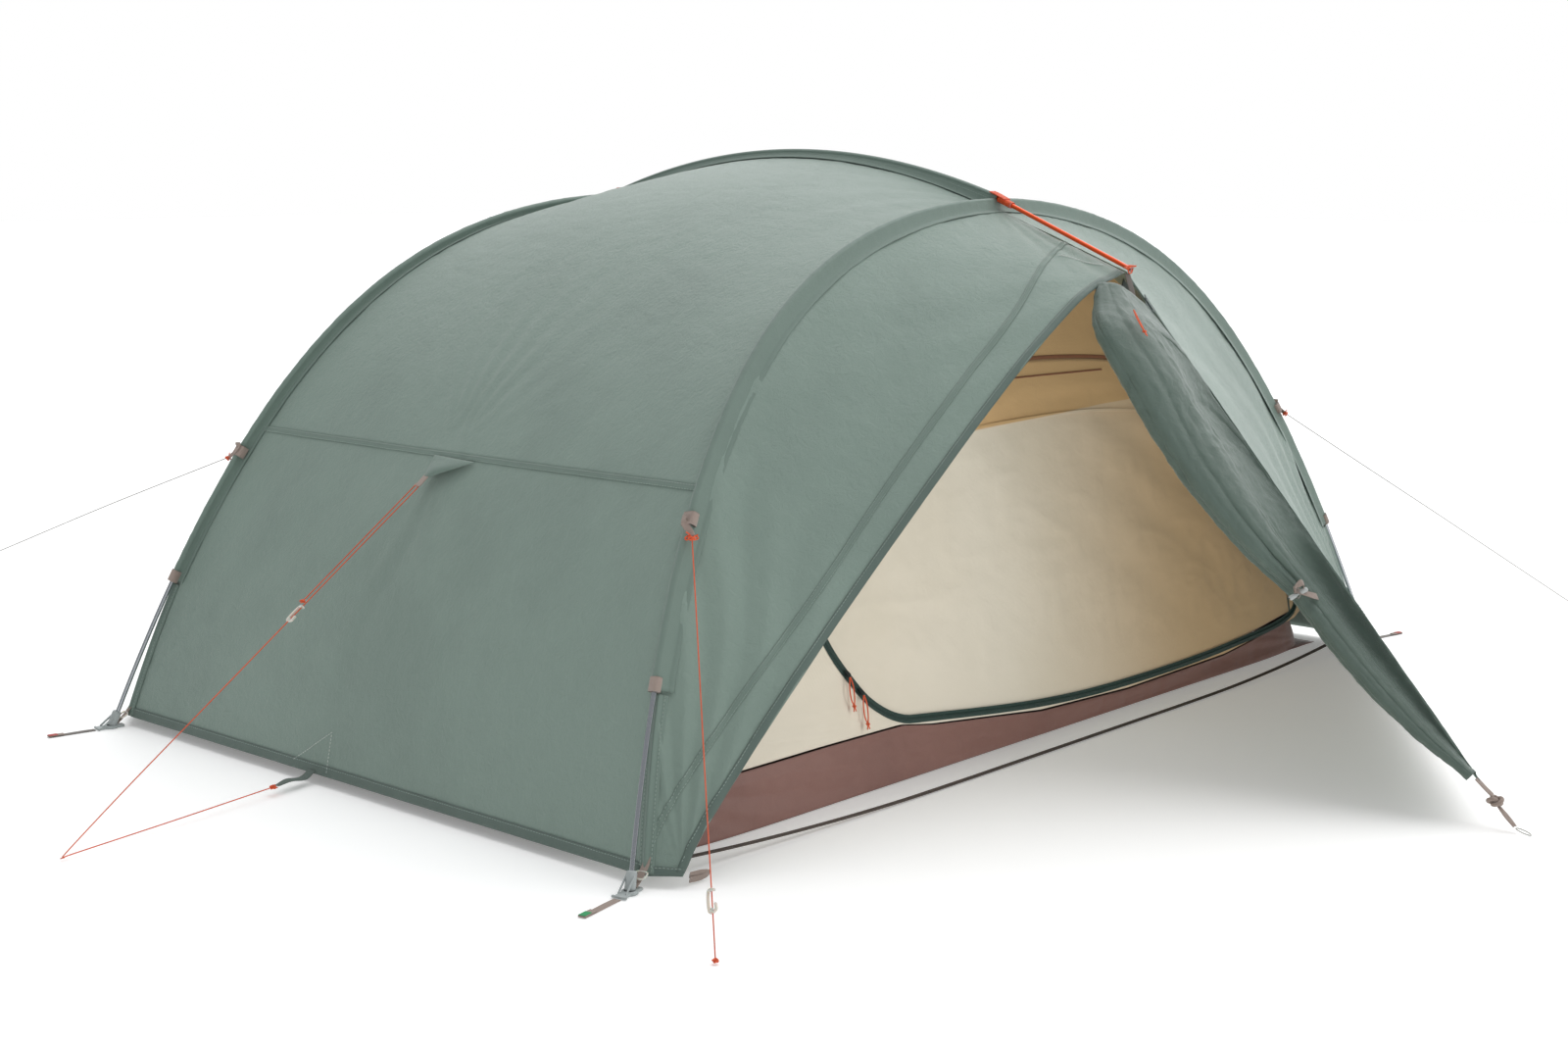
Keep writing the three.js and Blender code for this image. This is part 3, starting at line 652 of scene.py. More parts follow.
def canopy(side):
    """The fly between the main poles: straight from seam to seam, raised at the ridge by a
    parabola that fades out along the arch, and sagging a little between the poles."""

    def surface(u, t):
        edge = fly_seam(u, REAR)
        across = 2 * t - 1
        bow = 1 - across**2
        fade = np.clip(1 - u / 0.75, 0, None) ** 1.3
        sag = 0.016 * np.exp(-(((u - 0.55) / 0.2) ** 2))
        z = edge[..., 2] + (APEX_Z - 0.010 - (CREST_Z - 0.014)) * fade * bow - sag * bow * 0.6
        x = edge[..., 0] - sag * bow * 0.8
        return np.stack([side * (x + 0.0004), across * (edge[..., 1] - 0.001), z], -1)

    return surface


GUY_TAB = np.array([1.036, 0.048, 0.585])


def canopy_creases(side):
    """Fold memory all over, rays from the end wall's guy tab, and a few from each crest."""

    def height(p):
        h = crumple(p, 0.0017, 0.085, 4) + crumple(p, 0.001, 0.04, 9)
        tab = GUY_TAB * [side, 1, 1] + [0, 0, 0.03]
        h += fan(p, tab, (0, 0, 1), (0, 1, 0), 0.11, 26, 0.0022, 0.9, 5)
        h += fan(p, tab, (0, 0, -1), (0, 1, 0), 0.16, 9, 0.0016, 0.5, 6)
        for face in (FRONT, REAR):
            corner = main_pole(np.array(0.98), face) * [side, 1, 1]
            h += fan(p, corner, (0, -face, 1), (0, -1, -1), 0.3, 22, 0.0012, 0.8, 7)
            crest = np.array([0, face * CREST_Y, CREST_Z])
            h += fan(p, crest, (side, 0, 0), (0, 1, 0), 0.14, 20, 0.0012, 1.1, 8)
        return h

    return height


OPEN_EDGE = through(
    [
        FLY_TIP, (0.175, 0.903, 0.930), (0.450, 0.895, 0.742), (0.870, 0.875, 0.390),
        (1.150, 0.855, 0.118), CORNER
    ], 400
)


def door_edge(s, opened):
    """A door edge of the fly, from the ridge's tip to the ground corner: straight where it is
    zipped, drawn back towards its panel where the door is open."""
    if not opened:
        return FLY_TIP + (CORNER - FLY_TIP) * s[..., None]
    at = np.linspace(0, 1, len(OPEN_EDGE))
    return np.stack([np.interp(s, at, OPEN_EDGE[:, k]) for k in range(3)], -1)


HEM_SHARE = float(np.interp(HEM_U, FINE_U, POLE_GONE) / POLE_GONE[-1])


def side_panel(side, face, opened):
    """A side panel of the fly: straight lines from the arch's seam to the door edge, sagging
    under the ridge pole and a little between its edges."""

    def surface(s, t):
        arch = fly_seam(even_u(s * HEM_SHARE), REAR)
        edge = door_edge(s, opened)
        t3 = t[..., None]
        p = arch * (1 - t3) + edge * t3
        bow = 4 * t * (1 - t)
        p[..., 1] -= bow * 0.010 * np.sin(np.pi * np.clip(s, 0, 1)) ** 0.7
        p[..., 0] += 0.0004
        return p * [side, face, 1]

    return surface


def side_creases(side, face):
    """Rays from the ground corner up the panel and from the ridge's tip down it."""

    def height(p):
        corner, tip = CORNER * [side, face, 1], FLY_TIP * [side, face, 1]
        h = crumple(p, 0.0014, 0.07, 21) + crumple(p, 0.0008, 0.035, 22)
        h += fan(p, corner, (-0.45 * side, 0, 0.9), (0.9 * side, 0, 0.45), 0.34, 46, 0.0034, 0.5, 23)
        h += fan(p, tip, (0.75 * side, 0, -0.65), (0.65 * side, 0, 0.75), 0.26, 40, 0.0022, 0.6, 24)
        crest = np.array([0.0, face * CREST_Y, CREST_Z])
        h += fan(p, crest, (0.5 * side, face * 0.3, -0.8), (0.8 * side, 0, 0.5), 0.2, 26, 0.0016, 0.8, 25)
        return h

    return height


def half_door(side, face, drop):
    """A closed half door: straight lines from the zip to the line between the ridge's tip and
    the peg, its top let down by the two shares in drop, its middle hanging in a little."""

    def surface(s, t):
        top = drop[0] + (drop[1] - drop[0]) * t
        along = top + (1 - top) * s
        zipped = door_edge(along, False)
        fold = FLY_TIP + (FLAP_TIP - FLY_TIP) * along[..., None]
        t3 = t[..., None]
        p = zipped * (1 - t3) + fold * t3
        bow = 4 * t * (1 - t) * np.sin(np.pi * np.clip(s, 0, 1)) ** 0.8
        p[..., 1] -= 0.012 * bow
        p[..., 2] -= 0.006 * bow
        return p * [side, face, 1]

    return surface


def door_creases(side, face):
    """Rays from the ridge's tip and from the peg, over fold memory."""

    def height(p):
        tip, flap = FLY_TIP * [side, face, 1], FLAP_TIP * [side, face, 1]
        h = crumple(p, 0.0016, 0.07, 31) + crumple(p, 0.0009, 0.035, 32)
        h += fan(p, tip, (0.45 * side, face * 0.25, -0.85), (0.9 * side, 0, 0.45), 0.24, 30, 0.004, 0.7, 33)
        h += fan(p, flap, (0.5 * side, -face * 0.75, 0.3), (0.3 * side, 0, 0.9), 0.26, 26, 0.0035, 0.6, 34)
        return h

    return height


# ---- Guylines ----
CORDS = {
    # From the hem tab out along the ground, round the peg, up through the runner, round the
    # end wall's tab and back down to the knot at the runner.
    "guyline_end": [
        (-1.366, 0.113, 0.018),
        (-1.600, 0.082, 0.013),
        (-1.828, 0.055, 0.008),
        (-1.836, 0.054, 0.006),
        (-1.836, 0.058, 0.007),
        (-1.828, 0.060, 0.014),
        (-1.700, 0.061, 0.106),
        (-1.500, 0.056, 0.249),
        (-1.325, 0.052, 0.374),
        (-1.200, 0.050, 0.463),
        (-1.060, 0.046, 0.563),
        (-1.051, 0.049, 0.569),
        (-1.049, 0.055, 0.572),
        (-1.054, 0.059, 0.567),
        (-1.200, 0.062, 0.463),
        (-1.316, 0.065, 0.380),
    ],
    "guyline_front_left": [
        (-1.047, -0.702, 0.558),
        (-1.120, -0.782, 0.454),
        (-1.200, -0.869, 0.341),
        (-1.300, -0.978, 0.198),
        (-1.391, -1.078, 0.068),
        (-1.436, -1.127, 0.005),
    ],
    "guyline_rear_left": [
        (-1.046, 0.700, 0.570),
        (-1.120, 1.079, 0.433),
        (-1.200, 1.480, 0.281),
        (-1.290, 1.930, 0.113),
        (-1.347, 2.225, 0.003),
    ],
    "guyline_front_right": [
        (1.032, -0.692, 0.596),
        (1.250, -0.773, 0.466),
        (1.500, -0.866, 0.318),
        (1.760, -0.962, 0.163),
        (2.018, -1.058, 0.009),
    ],
}
CORD_THICK = {
    "guyline_end": 0.0022, "guyline_front_left": 0.0022, "guyline_rear_left": 0.0018,
    "guyline_front_right": 0.0018
}


def knot(name, at, size, material=None, body="tent", seed=0):
    """A small tight knot: a cord wound three times round a ring that leans, its line a torus
    curve with three turns one way and two the other."""
    a = np.linspace(0, TAU, 90, endpoint=False)
    r = size * (1 + 0.38 * np.cos(3 * a))
    line = np.stack(
        [r * np.cos(2 * a + seed), r * np.sin(2 * a + seed), size * 0.55 * np.sin(3 * a)], -1
    ) + at
    tangent = unit(np.roll(line, -1, 0) - np.roll(line, 1, 0))
    up = unit(line - np.asarray(at))
    up = unit(up - (up * tangent).sum(-1, keepdims=True) * tangent)
    side = np.cross(tangent, up)
    ring = circle(size * 0.42, 10)
    rings = line[:, None] + ring[None, :, :1] * side[:, None] + ring[None, :, 1:] * up[:, None]
    faces = grid_faces(91, 10, loop=True) % (90 * 10)
    return make_piece(name, rings, faces, material or ORANGE_CORD, "cord", body, ring_map(rings))


def guyline(name, with_pieces):
    """A guyline as a round curve along its route."""
    line = through(CORDS[name], 160)
    curve = bpy.data.curves.new(name + "_cord", "CURVE")
    curve.dimensions = "3D"
    spline = curve.splines.new("POLY")
    spline.points.add(len(line) - 1)
    spline.points.foreach_set("co", np.concatenate([line, np.ones((len(line), 1))], 1).ravel())
    curve.bevel_depth = CORD_THICK[name] / 2
    curve.bevel_resolution = 3
    curve.use_fill_caps = True
    curve.materials.append(ORANGE_CORD if CORD_THICK[name] > 0.002 else PALE_CORD)
    piece = bpy.data.objects.new(name + "_cord", curve)
    scene.collection.objects.link(piece)
    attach(piece, "tent")
    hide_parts(name)
    return piece


def line_runner(name, at, way, body):
    """A line runner: a flat bar with a long window, open at one end by a slot, and an eye
    through each end for the cord. The section is carried round the window's outline."""
    way = unit(np.array(way, float))
    out = unit(np.cross((0, 1, 0), way))
    side = np.cross(out, way)
    turn = np.stack([way, side, out], 1)
    outline = np.array([(-17, 6), (-17, -6), (17, -6), (17, 6), (6, 6)]) / 1000
    path = through(np.concatenate([outline, np.zeros((5, 1))], 1), 70)
    bar = carried(path, rounded(0.0042, 0.0052, 0.0015), (0, 0, 1))
    grips = []
    for x in (-0.017, 0.017):
        eye = np.stack([0 * np.arange(2) + x, 0 * np.arange(2), np.array([-0.0008, 0.0008])], -1)
        grips.append(skin(carried(eye + [0, 0.0, 0.0034], rounded(0.006, 0.007, 0.002), (0, 1, 0))))
    points, faces = join_shapes([skin(bar)] + grips)
    piece = make_piece(
        name + "_moulding", points @ turn.T + at, faces, RUNNER_ACETAL, "runner_plastic", body,
        points[:, :2]
    )
    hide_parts(name)
    return piece


END_RUNNER = line_runner(
    "line_runner_end", np.array([-1.342, 0.0524, 0.3619]), (-175, 4, -125), "runner_end"
)
FRONT_RUNNER = line_runner(
    "line_runner_front", np.array([-1.386, -1.0725, 0.0751]), (-91, -100, -130), "runner_front"
)
guyline(
    "guyline_end",
    [
        END_RUNNER, knot("knot_end_runner", (-1.3165, 0.0652, 0.3800), 0.0034),
        knot("knot_hem_tab", (-1.366, 0.113, 0.018), 0.004)
    ],
)
guyline(
    "guyline_front_left",
    [
        FRONT_RUNNER, knot("knot_front_left_tab", (-1.049, -0.704, 0.5555), 0.0042),
        knot("knot_front_left_end", (-1.436, -1.127, 0.0065), 0.0034)
    ],
)
guyline(
    "guyline_rear_left",
    [
        knot("knot_rear_left_tab", (-1.046, 0.702, 0.569), 0.0038),
        knot("knot_rear_left_end", (-1.347, 2.2235, 0.0055), 0.003)
    ],
)
guyline(
    "guyline_front_right",
    [
        knot("knot_front_right_tab", (1.033, -0.6925, 0.5955), 0.0038),
        knot("knot_front_right_end", (2.0165, -1.0575, 0.010), 0.003)
    ],
)


# ---- Poles ----
def pole(name, line, material, slot, radius=POLE_R):
    """A tube: a circle carried along a line."""
    rings = carried(even(line, max(6, len(line))), circle(radius, 20), (0.3, 1, 0.2))
    piece = make_piece(name + "_tube", *skin(rings), material, slot, "tent", ring_map(rings))
    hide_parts(name)
    return piece


SECTION_U = 0.77
POLE_END_U = u_at(0.009)
for face_name, face in FACES.items():
    pole(
        f"{face_name}_pole_top", main_pole(np.linspace(-SECTION_U, SECTION_U, 90), face), POLE_ALLOY, "pole"
    )
    for side_name, side in SIDES.items():
        low = main_pole(side * np.linspace(SECTION_U + 0.001, POLE_END_U, 40), face)
        pole(f"{face_name}_pole_{side_name}", low, POLE_ALLOY, "pole")
    start = np.array([0, face * (CREST_Y + 0.014), RIDGE_Z - 0.0055])
    end = np.array([0, face * TIP_Y, TIP_Z])
    share = np.linspace(0, 1, 12)[:, None]
    pole(f"ridge_pole_{face_name}", start + (end - start) * share, ORANGE_ALLOY, "ridge_pole")
    # A turned tip that closes the ridge pole, with a groove for its cord.
    way = unit(end - start)
    stops = np.array([0, 0.001, 0.003, 0.0035, 0.006, 0.0065, 0.0078, 0.008]) - 0.008
    radii = np.array([0.0044, 0.0052, 0.0052, 0.0036, 0.0036, 0.0052, 0.0048, 0.0030])
    tip = carried(end + way * stops[:, None], circle(1.0, 20), (1, 0, 0), grow=radii)
    make_piece(f"ridge_tip_{face_name}", *skin(tip), FERRULE_ALLOY, "pole", uv=ring_map(tip))
y = np.linspace(-CREST_Y - 0.013, CREST_Y + 0.013, 60)
roof_line = np.stack([0 * y, y, RIDGE_Z + (APEX_Z - RIDGE_Z) * (1 - (y / CREST_Y) ** 2)], -1)
pole("ridge_pole_roof", roof_line, ORANGE_ALLOY, "ridge_pole")

# ---- Fly ----
def panel_surface(side, face):
    """A side panel's finished surface, creases and all."""
    return raised(side_panel(side, face, (side, face) == (LEFT, FRONT)), side_creases(side, face))


def outward_of(surface, s=0.5, t=0.5):
    """1 or -1: which way a surface's own normal has to be turned to point out of the tent."""
    s, t = np.array([[s]]), np.array([[t]])
    p, n = surface_line(surface, s, t, 0)
    return float(np.sign((n * (p - [0, 0, 0.3])).sum()))


def band(name, surface, s, t, material=None, thick=0.0009, lift=0.0014, slot="fly_cloth"):
    """A strip of cloth lying on a surface: a grid of its s and t, lifted off it."""
    p, _ = surface_line(surface, s, t, lift, outward_of(surface))
    return cloth(name, p, material or SLEEVE_PAINTED_SHADE_CLOTH, slot, thick)


def sewn(name, surface, rows, material=None, **more):
    """Rows of stitches on a surface, each row given as its s and t."""
    out = outward_of(surface)
    return stitches(
        name, [surface_line(surface, s, t, 0.0023, out) for s, t in rows], material or THREAD, **more
    )


for side_name, side in SIDES.items():
    made = raised(canopy(side), canopy_creases(side))
    order = -1 if side == RIGHT else 1
    roof = cloth(
        f"roof_cloth_{side_name}", grid(
            lambda s, t: made(SEAM_U * s, t), 130, 120
        )[:, ::order], FLY_CLOTH, "fly_cloth"
    )
    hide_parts(f"fly_roof_{side_name}")
    wall = cloth(
        f"end_wall_cloth_{side_name}",
        grid(lambda s, t: made(SEAM_U + (HEM_U - SEAM_U) * s, t), 80, 150)[:, ::order],
        FLY_CLOTH,
        "fly_cloth",
    )
    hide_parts(f"fly_end_wall_{side_name}")
    # The level seam: a felled strip with a row of stitches along each edge, and the hem.
    u_per_metre = (HEM_U - SEAM_U) / 0.67
    across = np.linspace(0.006, 0.994, 150)
    rows, columns = np.meshgrid(np.linspace(-0.008, 0.008, 4), across, indexing="ij")
    band(f"level_seam_{side_name}", made, SEAM_U + rows * u_per_metre, columns)
    rows, columns = np.meshgrid(np.linspace(-0.016, 0.0005, 5), across, indexing="ij")
    band(f"end_wall_hem_{side_name}", made, HEM_U + rows * u_per_metre, columns, HEM_PAINTED_SHADE_CLOTH, 0.0022)
    levels = (SEAM_U - 0.006 * u_per_metre, SEAM_U + 0.006 * u_per_metre, HEM_U - 0.013 * u_per_metre)
    sewn(f"level_stitches_{side_name}", made, [(level + 0 * across, across) for level in levels])
    # A stitched triangle above the hem takes the load of the tab there.
    corners = [(HEM_U - 0.002, 0.556), (HEM_U - 0.024, 0.562), (HEM_U - 0.004, 0.625)]
    sides = []
    for (s0, t0), (s1, t1) in zip(corners, corners[1:] + corners[:1]):
        share = np.linspace(0, 1, 20)
        sides.append((s0 + (s1 - s0) * share, t0 + (t1 - t0) * share))
    sewn(f"hem_triangle_stitches_{side_name}", made, sides[:2], PALE_THREAD)

    for face_name, face in FACES.items():
        opened = (side, face) == (LEFT, FRONT)
        surface = panel_surface(side, face)
        panel = cloth(
            f"side_panel_cloth_{face_name}_{side_name}", grid(surface, 240, 48), FLY_CLOTH, "fly_cloth"
        )
        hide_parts(f"fly_side_{face_name}_{side_name}")
        down = np.linspace(0.004, 0.996, 200)
        width = np.linalg.norm(surface(down, 0 * down) - surface(down, 0 * down + 1), axis=-1)
        strip = np.linspace(1, 0, 4)
        s_grid = np.repeat(down[:, None], 4, 1)
        edge_t = 1.001 - 0.015 * strip / width[:, None]
        band(f"door_edge_hem_{face_name}_{side_name}", surface, s_grid, edge_t, HEM_PAINTED_SHADE_CLOTH, 0.003, 0.001)
        low = np.linspace(0.02, 0.98, 40)
        t_grid = np.repeat(low[None], 4, 0)
        band(
            f"side_hem_{face_name}_{side_name}",
            surface,
            1.0003 - 0.0095 * np.repeat(strip[:, None], 40, 1),
            t_grid,
            HEM_PAINTED_SHADE_CLOTH,
            0.0022,
        )
        rows = [(down, 1 - 0.012 / width), (1 - 0.008 + 0 * low, low)]
        if side * face == 1:
            # The visor's seam, which runs from the ridge to the arch's foot.
            seam = through([(0, 0.55, 0), (0.165, 0.774, 0), (0.3, 0.825, 0), (0.5, 0.832, 0),
                (0.65, 0.815, 0),
                            (0.76, 0.74, 0), (0.85, 0.61, 0), (0.92, 0.385, 0), (0.985, 0.01, 0)], 260)
            s, t = seam[:, 0], seam[:, 1]
            span = np.linalg.norm(surface(s, 0 * s) - surface(s, 0 * s + 1), axis=-1)
            along = unit(np.gradient(surface(s, t), axis=0))
            tilt = np.abs(np.gradient(t) * span) / np.maximum(
                np.linalg.norm(np.gradient(surface(s, t), axis=0), axis=-1), 1e-9
            )
            reach = 0.006 / np.maximum(np.sqrt(1 - np.clip(tilt, 0, 0.9) ** 2), 0.3) / span
            s_two = np.repeat(s[:, None], 4, 1)
            t_two = np.clip(t[:, None] + reach[:, None] * np.linspace(-1, 1, 4), 0.002, 0.998)
            band(f"visor_seam_{face_name}_{side_name}", surface, s_two, t_two)
            rows += [(s, np.clip(t - 0.7 * reach, 0, 1)), (s, np.clip(t + 0.7 * reach, 0, 1))]
            # The gusset at the ridge: a short seam, and a pale row of zigzag stitches.
            share = np.linspace(0, 1, 30)
            pale = [
                (0.043 - 0.033 * share, 0.662 + 0.225 * share),
                (0.046 - 0.033 * share, 0.655 + 0.225 * share)
            ]
            sewn(f"gusset_stitches_{face_name}_{side_name}", surface, pale, PALE_THREAD, half=0.0006)
        sewn(f"panel_stitches_{face_name}_{side_name}", surface, rows)
        if opened:
            continue
        drop = (0.25, 0.08) if face == FRONT else (0.05, 0.04)
        door_surface = raised(half_door(side, face, drop), door_creases(side, face))
        door = cloth(
            f"half_door_cloth_{face_name}_{side_name}", grid(door_surface, 120, 84), FLY_CLOTH, "fly_cloth"
        )
        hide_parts(f"fly_door_{face_name}_{side_name}")
        reach = np.linspace(0.004, 0.996, 120)
        s_grid = np.repeat(reach[:, None], 4, 1)
        width = np.maximum(
            np.linalg.norm(door_surface(reach, 0 * reach) - door_surface(reach, 0 * reach + 1), axis=-1),
            0.03
        )
        band(
            f"door_fold_hem_{face_name}_{side_name}",
            door_surface,
            s_grid,
            np.clip(1 - 0.012 * strip / width[:, None], 0, 1),
            HEM_PAINTED_SHADE_CLOTH,
            0.002,
        )
        across_low = np.linspace(0.01, 0.99, 90)
        band(
            f"door_hem_{face_name}_{side_name}",
            door_surface,
            np.repeat((1.0003 - 0.012 * strip)[:, None], 90, 1),
            np.repeat(across_low[None], 4, 0),
            HEM_PAINTED_SHADE_CLOTH,
            0.002,
        )
        sewn(
            f"half_door_stitches_{face_name}_{side_name}",
            door_surface,
            [(reach, np.clip(1 - 0.010 / width, 0, 1)), (0.991 + 0 * across_low, across_low)],
        )
        # The coil zip between panel and half door, and the narrow flap that covers it.
        zip_s = np.linspace(0.06, 0.995, 160)
        line = (FLY_TIP + (CORNER - FLY_TIP) * zip_s[:, None]) * [side, face, 1]
        out = unit(np.array([0.2 * side, 0.88 * face, 0.4]))
        tape(
            f"door_zip_tape_{face_name}_{side_name}", line[::10] + out * 0.0012, out, 0.026,
            ZIP_TAPE, "fly_cloth", 0.001
        )
        coil = carried(line + out * 0.0026, rounded(0.005, 0.0026, 0.0011), out)
        make_piece(
            f"door_zip_coil_{face_name}_{side_name}", *skin(coil), ZIP_COIL, "fly_cloth", uv=ring_map(coil)
        )


# ---- Pole sleeves ----
def share_at(u):
    """A main pole's share of length, from crest to hem, at u: a side panel's s."""
    return np.interp(np.abs(u), FINE_U, POLE_GONE) / POLE_GONE[-1] / HEM_SHARE


def arch_frame(u, face):
    """At u on an arch: the fly's seam, the pole, the way along it, and the ways down the roof
    and down the side panel."""
    sign = np.where(u < 0, -1.0, 1.0)
    seam, rod = fly_seam(np.abs(u), face) * np.stack([sign, 1 + 0 * u, 1 + 0 * u], -1), main_pole(u, face)
    along = unit(np.gradient(rod, axis=0))
    t_edge = 0 * u if face == FRONT else 0 * u + 1
    inner = canopy(sign)(np.abs(u), t_edge + 0.04 * (1 if face == FRONT else -1))
    s = share_at(u)
    open_side = side_panel(LEFT, face, face == FRONT)(s, 0 * s + 0.12)
    shut_side = side_panel(RIGHT, face, False)(s, 0 * s + 0.12)
    outer = np.where(u[:, None] < 0, open_side, shut_side)

    def way(target):
        d = target - seam
        return unit(d - (d * along).sum(-1, keepdims=True) * along)

    return seam, rod, along, way(inner), way(outer)


def sleeve_section(u, face, reach=0.023, round_pole=0.0072):
    """The sleeve's section at u: a flange down the roof, a round over the pole and a flange
    down the side panel, joined by cubics."""
    seam, rod, along, roofward, panelward = arch_frame(u, face)
    away = unit(rod - seam)
    away = unit(away - (away * along).sum(-1, keepdims=True) * along)
    side = np.cross(along, away)
    side *= np.sign((side * roofward).sum(-1, keepdims=True))
    up_roof, up_panel = [unit(away - (away * w).sum(-1, keepdims=True) * w) for w in (roofward, panelward)]
    lift = 0.0026
    points = [seam + roofward * reach * k + up_roof * lift for k in (1, 0.72, 0.44)]
    for angle in np.radians((98, 66, 33, 0, -33, -66, -98)):
        points.append(rod + round_pole * (np.cos(angle) * away + np.sin(angle) * side))
    points += [seam + panelward * reach * k + up_panel * lift for k in (0.44, 0.72, 1)]
    return np.stack(points, 1)


SLEEVE_U = u_at(SLEEVE_END_Z)
for face_name, face in FACES.items():
    u = np.linspace(-SLEEVE_U, SLEEVE_U, 420)
    u = np.sign(u) * even_u(
        np.abs(u) * float(np.interp(SLEEVE_U, FINE_U, POLE_GONE)) / POLE_GONE[-1] / SLEEVE_U
    )
    control = sleeve_section(u, face)
    wrinkle = crumple(control, 0.0012, 0.03, 41)[..., None]
    control = control + wrinkle * unit(control - control.mean(1, keepdims=True))
    rings = smooth_rows(control, 3)
    cloth(f"pole_sleeve_{face_name}", rings, SLEEVE_PAINTED_SHADE_CLOTH, "fly_cloth", 0.001)
    rows = []
    for column in (1, 3, 9 * 3 + 6, 9 * 3 + 8):
        line = rings[:, min(column, rings.shape[1] - 2)]
        out = unit(line - rings.mean(1))
        rows.append((line + out * 0.0008, out))
    stitches(f"sleeve_stitches_{face_name}", rows, THREAD)
    for side_name, side in SIDES.items():
        # The fly's seam goes on below the sleeve, without the pole in it.
        u_low = side * np.linspace(SLEEVE_U + 0.002, HEM_U - 0.001, 90)
        seam, rod, along, roofward, panelward = arch_frame(u_low, face)
        out = unit(-(roofward + panelward))
        fin = np.stack(
            [seam + roofward * 0.016 + out * 0.002, seam + roofward * 0.006 + out * 0.003, seam + out * 0.006,
             seam + panelward * 0.006 + out * 0.003, seam + panelward * 0.016 + out * 0.002], 1
        )
        fin = smooth_rows(fin, 4)
        cloth(f"lower_seam_{face_name}_{side_name}", fin, SLEEVE_PAINTED_SHADE_CLOTH, "fly_cloth", 0.0012)
        stitches(
            f"lower_seam_stitches_{face_name}_{side_name}",
            [(fin[:, k] + out * 0.0012, out) for k in (2, fin.shape[1] - 3)],
            THREAD,
        )
        # Webbing cuff round the sleeve's end.
        rod = even(main_pole(side * np.linspace(SLEEVE_U - 0.007, SLEEVE_U + 0.0012, 30), face), 12)
        away = unit(rod - fly_seam(np.abs(np.full(12, SLEEVE_U)), face) * [side, 1, 1])
        ring = rounded(0.021, 0.0172, 0.006, 4)
        cuff = carried(rod, ring, away, grow=np.r_[0.97, np.ones(10), 0.97])
        make_piece(
            f"sleeve_cuff_{face_name}_{side_name}", *skin(cuff), TAUPE_WEBBING, "webbing", uv=ring_map(cuff)
        )
        # Guy patch: a wide webbing patch over the sleeve, and the loop that hangs from it.
        z_patch = 0.609 if (side, face) == (RIGHT, FRONT) else 0.583
        u_mid = u_at(z_patch)
        rod = main_pole(side * np.linspace(u_mid - 0.005, u_mid + 0.005, 10), face)
        away = unit(rod - fly_seam(np.full(10, u_mid), face) * [side, 1, 1])
        patch = carried(rod, rounded(0.029, 0.0182, 0.006, 4), away, grow=np.r_[0.98, np.ones(8), 0.98])
        make_piece(
            f"guy_patch_{face_name}_{side_name}", *skin(patch), TAUPE_WEBBING, "webbing", uv=ring_map(patch)
        )

# Ridge sleeve: the same section over the ridge pole, with a flange on each roof half.
y = np.linspace(-CREST_Y - 0.005, CREST_Y + 0.005, 160)
rod = np.stack([0 * y, y, RIDGE_Z + (APEX_Z - RIDGE_Z) * (1 - (y / CREST_Y) ** 2)], -1)
t_of = np.clip((y / (CREST_Y + 0.0035) + 1) / 2, 0.002, 0.998)
section = []
for side, reaches in ((LEFT, (0.024, 0.016)), (RIGHT, (0.016, 0.024))):
    flange = [canopy(side)(0 * t_of + r / HALF_SPAN, t_of) + [0, 0, 0.0028] for r in reaches]
    section.append(flange)
over = []
for angle in np.radians((-100, -66, -33, 0, 33, 66, 100)):
    over.append(rod + 0.0068 * np.array([np.sin(angle), 0, np.cos(angle)]))
ridge_sleeve = smooth_rows(np.stack(section[0] + over + section[1], 1), 3)
cloth("ridge_sleeve", ridge_sleeve, SLEEVE_PAINTED_SHADE_CLOTH, "fly_cloth", 0.001)
up = np.repeat([[0.0, 0.0, 1.0]], len(y), 0)
stitches(
    "ridge_sleeve_stitches", [(ridge_sleeve[:, k] + [0, 0, 0.0009], up) for k in (1, 5, -6, -2)], THREAD
)

# ---- The rolled half of the front door ----
ROLL = np.array([
    (-0.078, -0.908, 0.956, 0.030, 0.010),
    (-0.106, -0.944, 0.914, 0.056, 0.020),
    (-0.140, -0.992, 0.862, 0.076, 0.034),
    (-0.128, -1.040, 0.790, 0.080, 0.040),
    (-0.114, -1.104, 0.690, 0.078, 0.040),
    (-0.104, -1.174, 0.600, 0.072, 0.040),
    (-0.080, -1.256, 0.495, 0.056, 0.034),
    (-0.042, -1.330, 0.402, 0.034, 0.024),
    (-0.032, -1.440, 0.285, 0.036, 0.022),
    (-0.020, -1.560, 0.175, 0.026, 0.016),
    (-0.006, -1.668, 0.092, 0.009, 0.008),
])


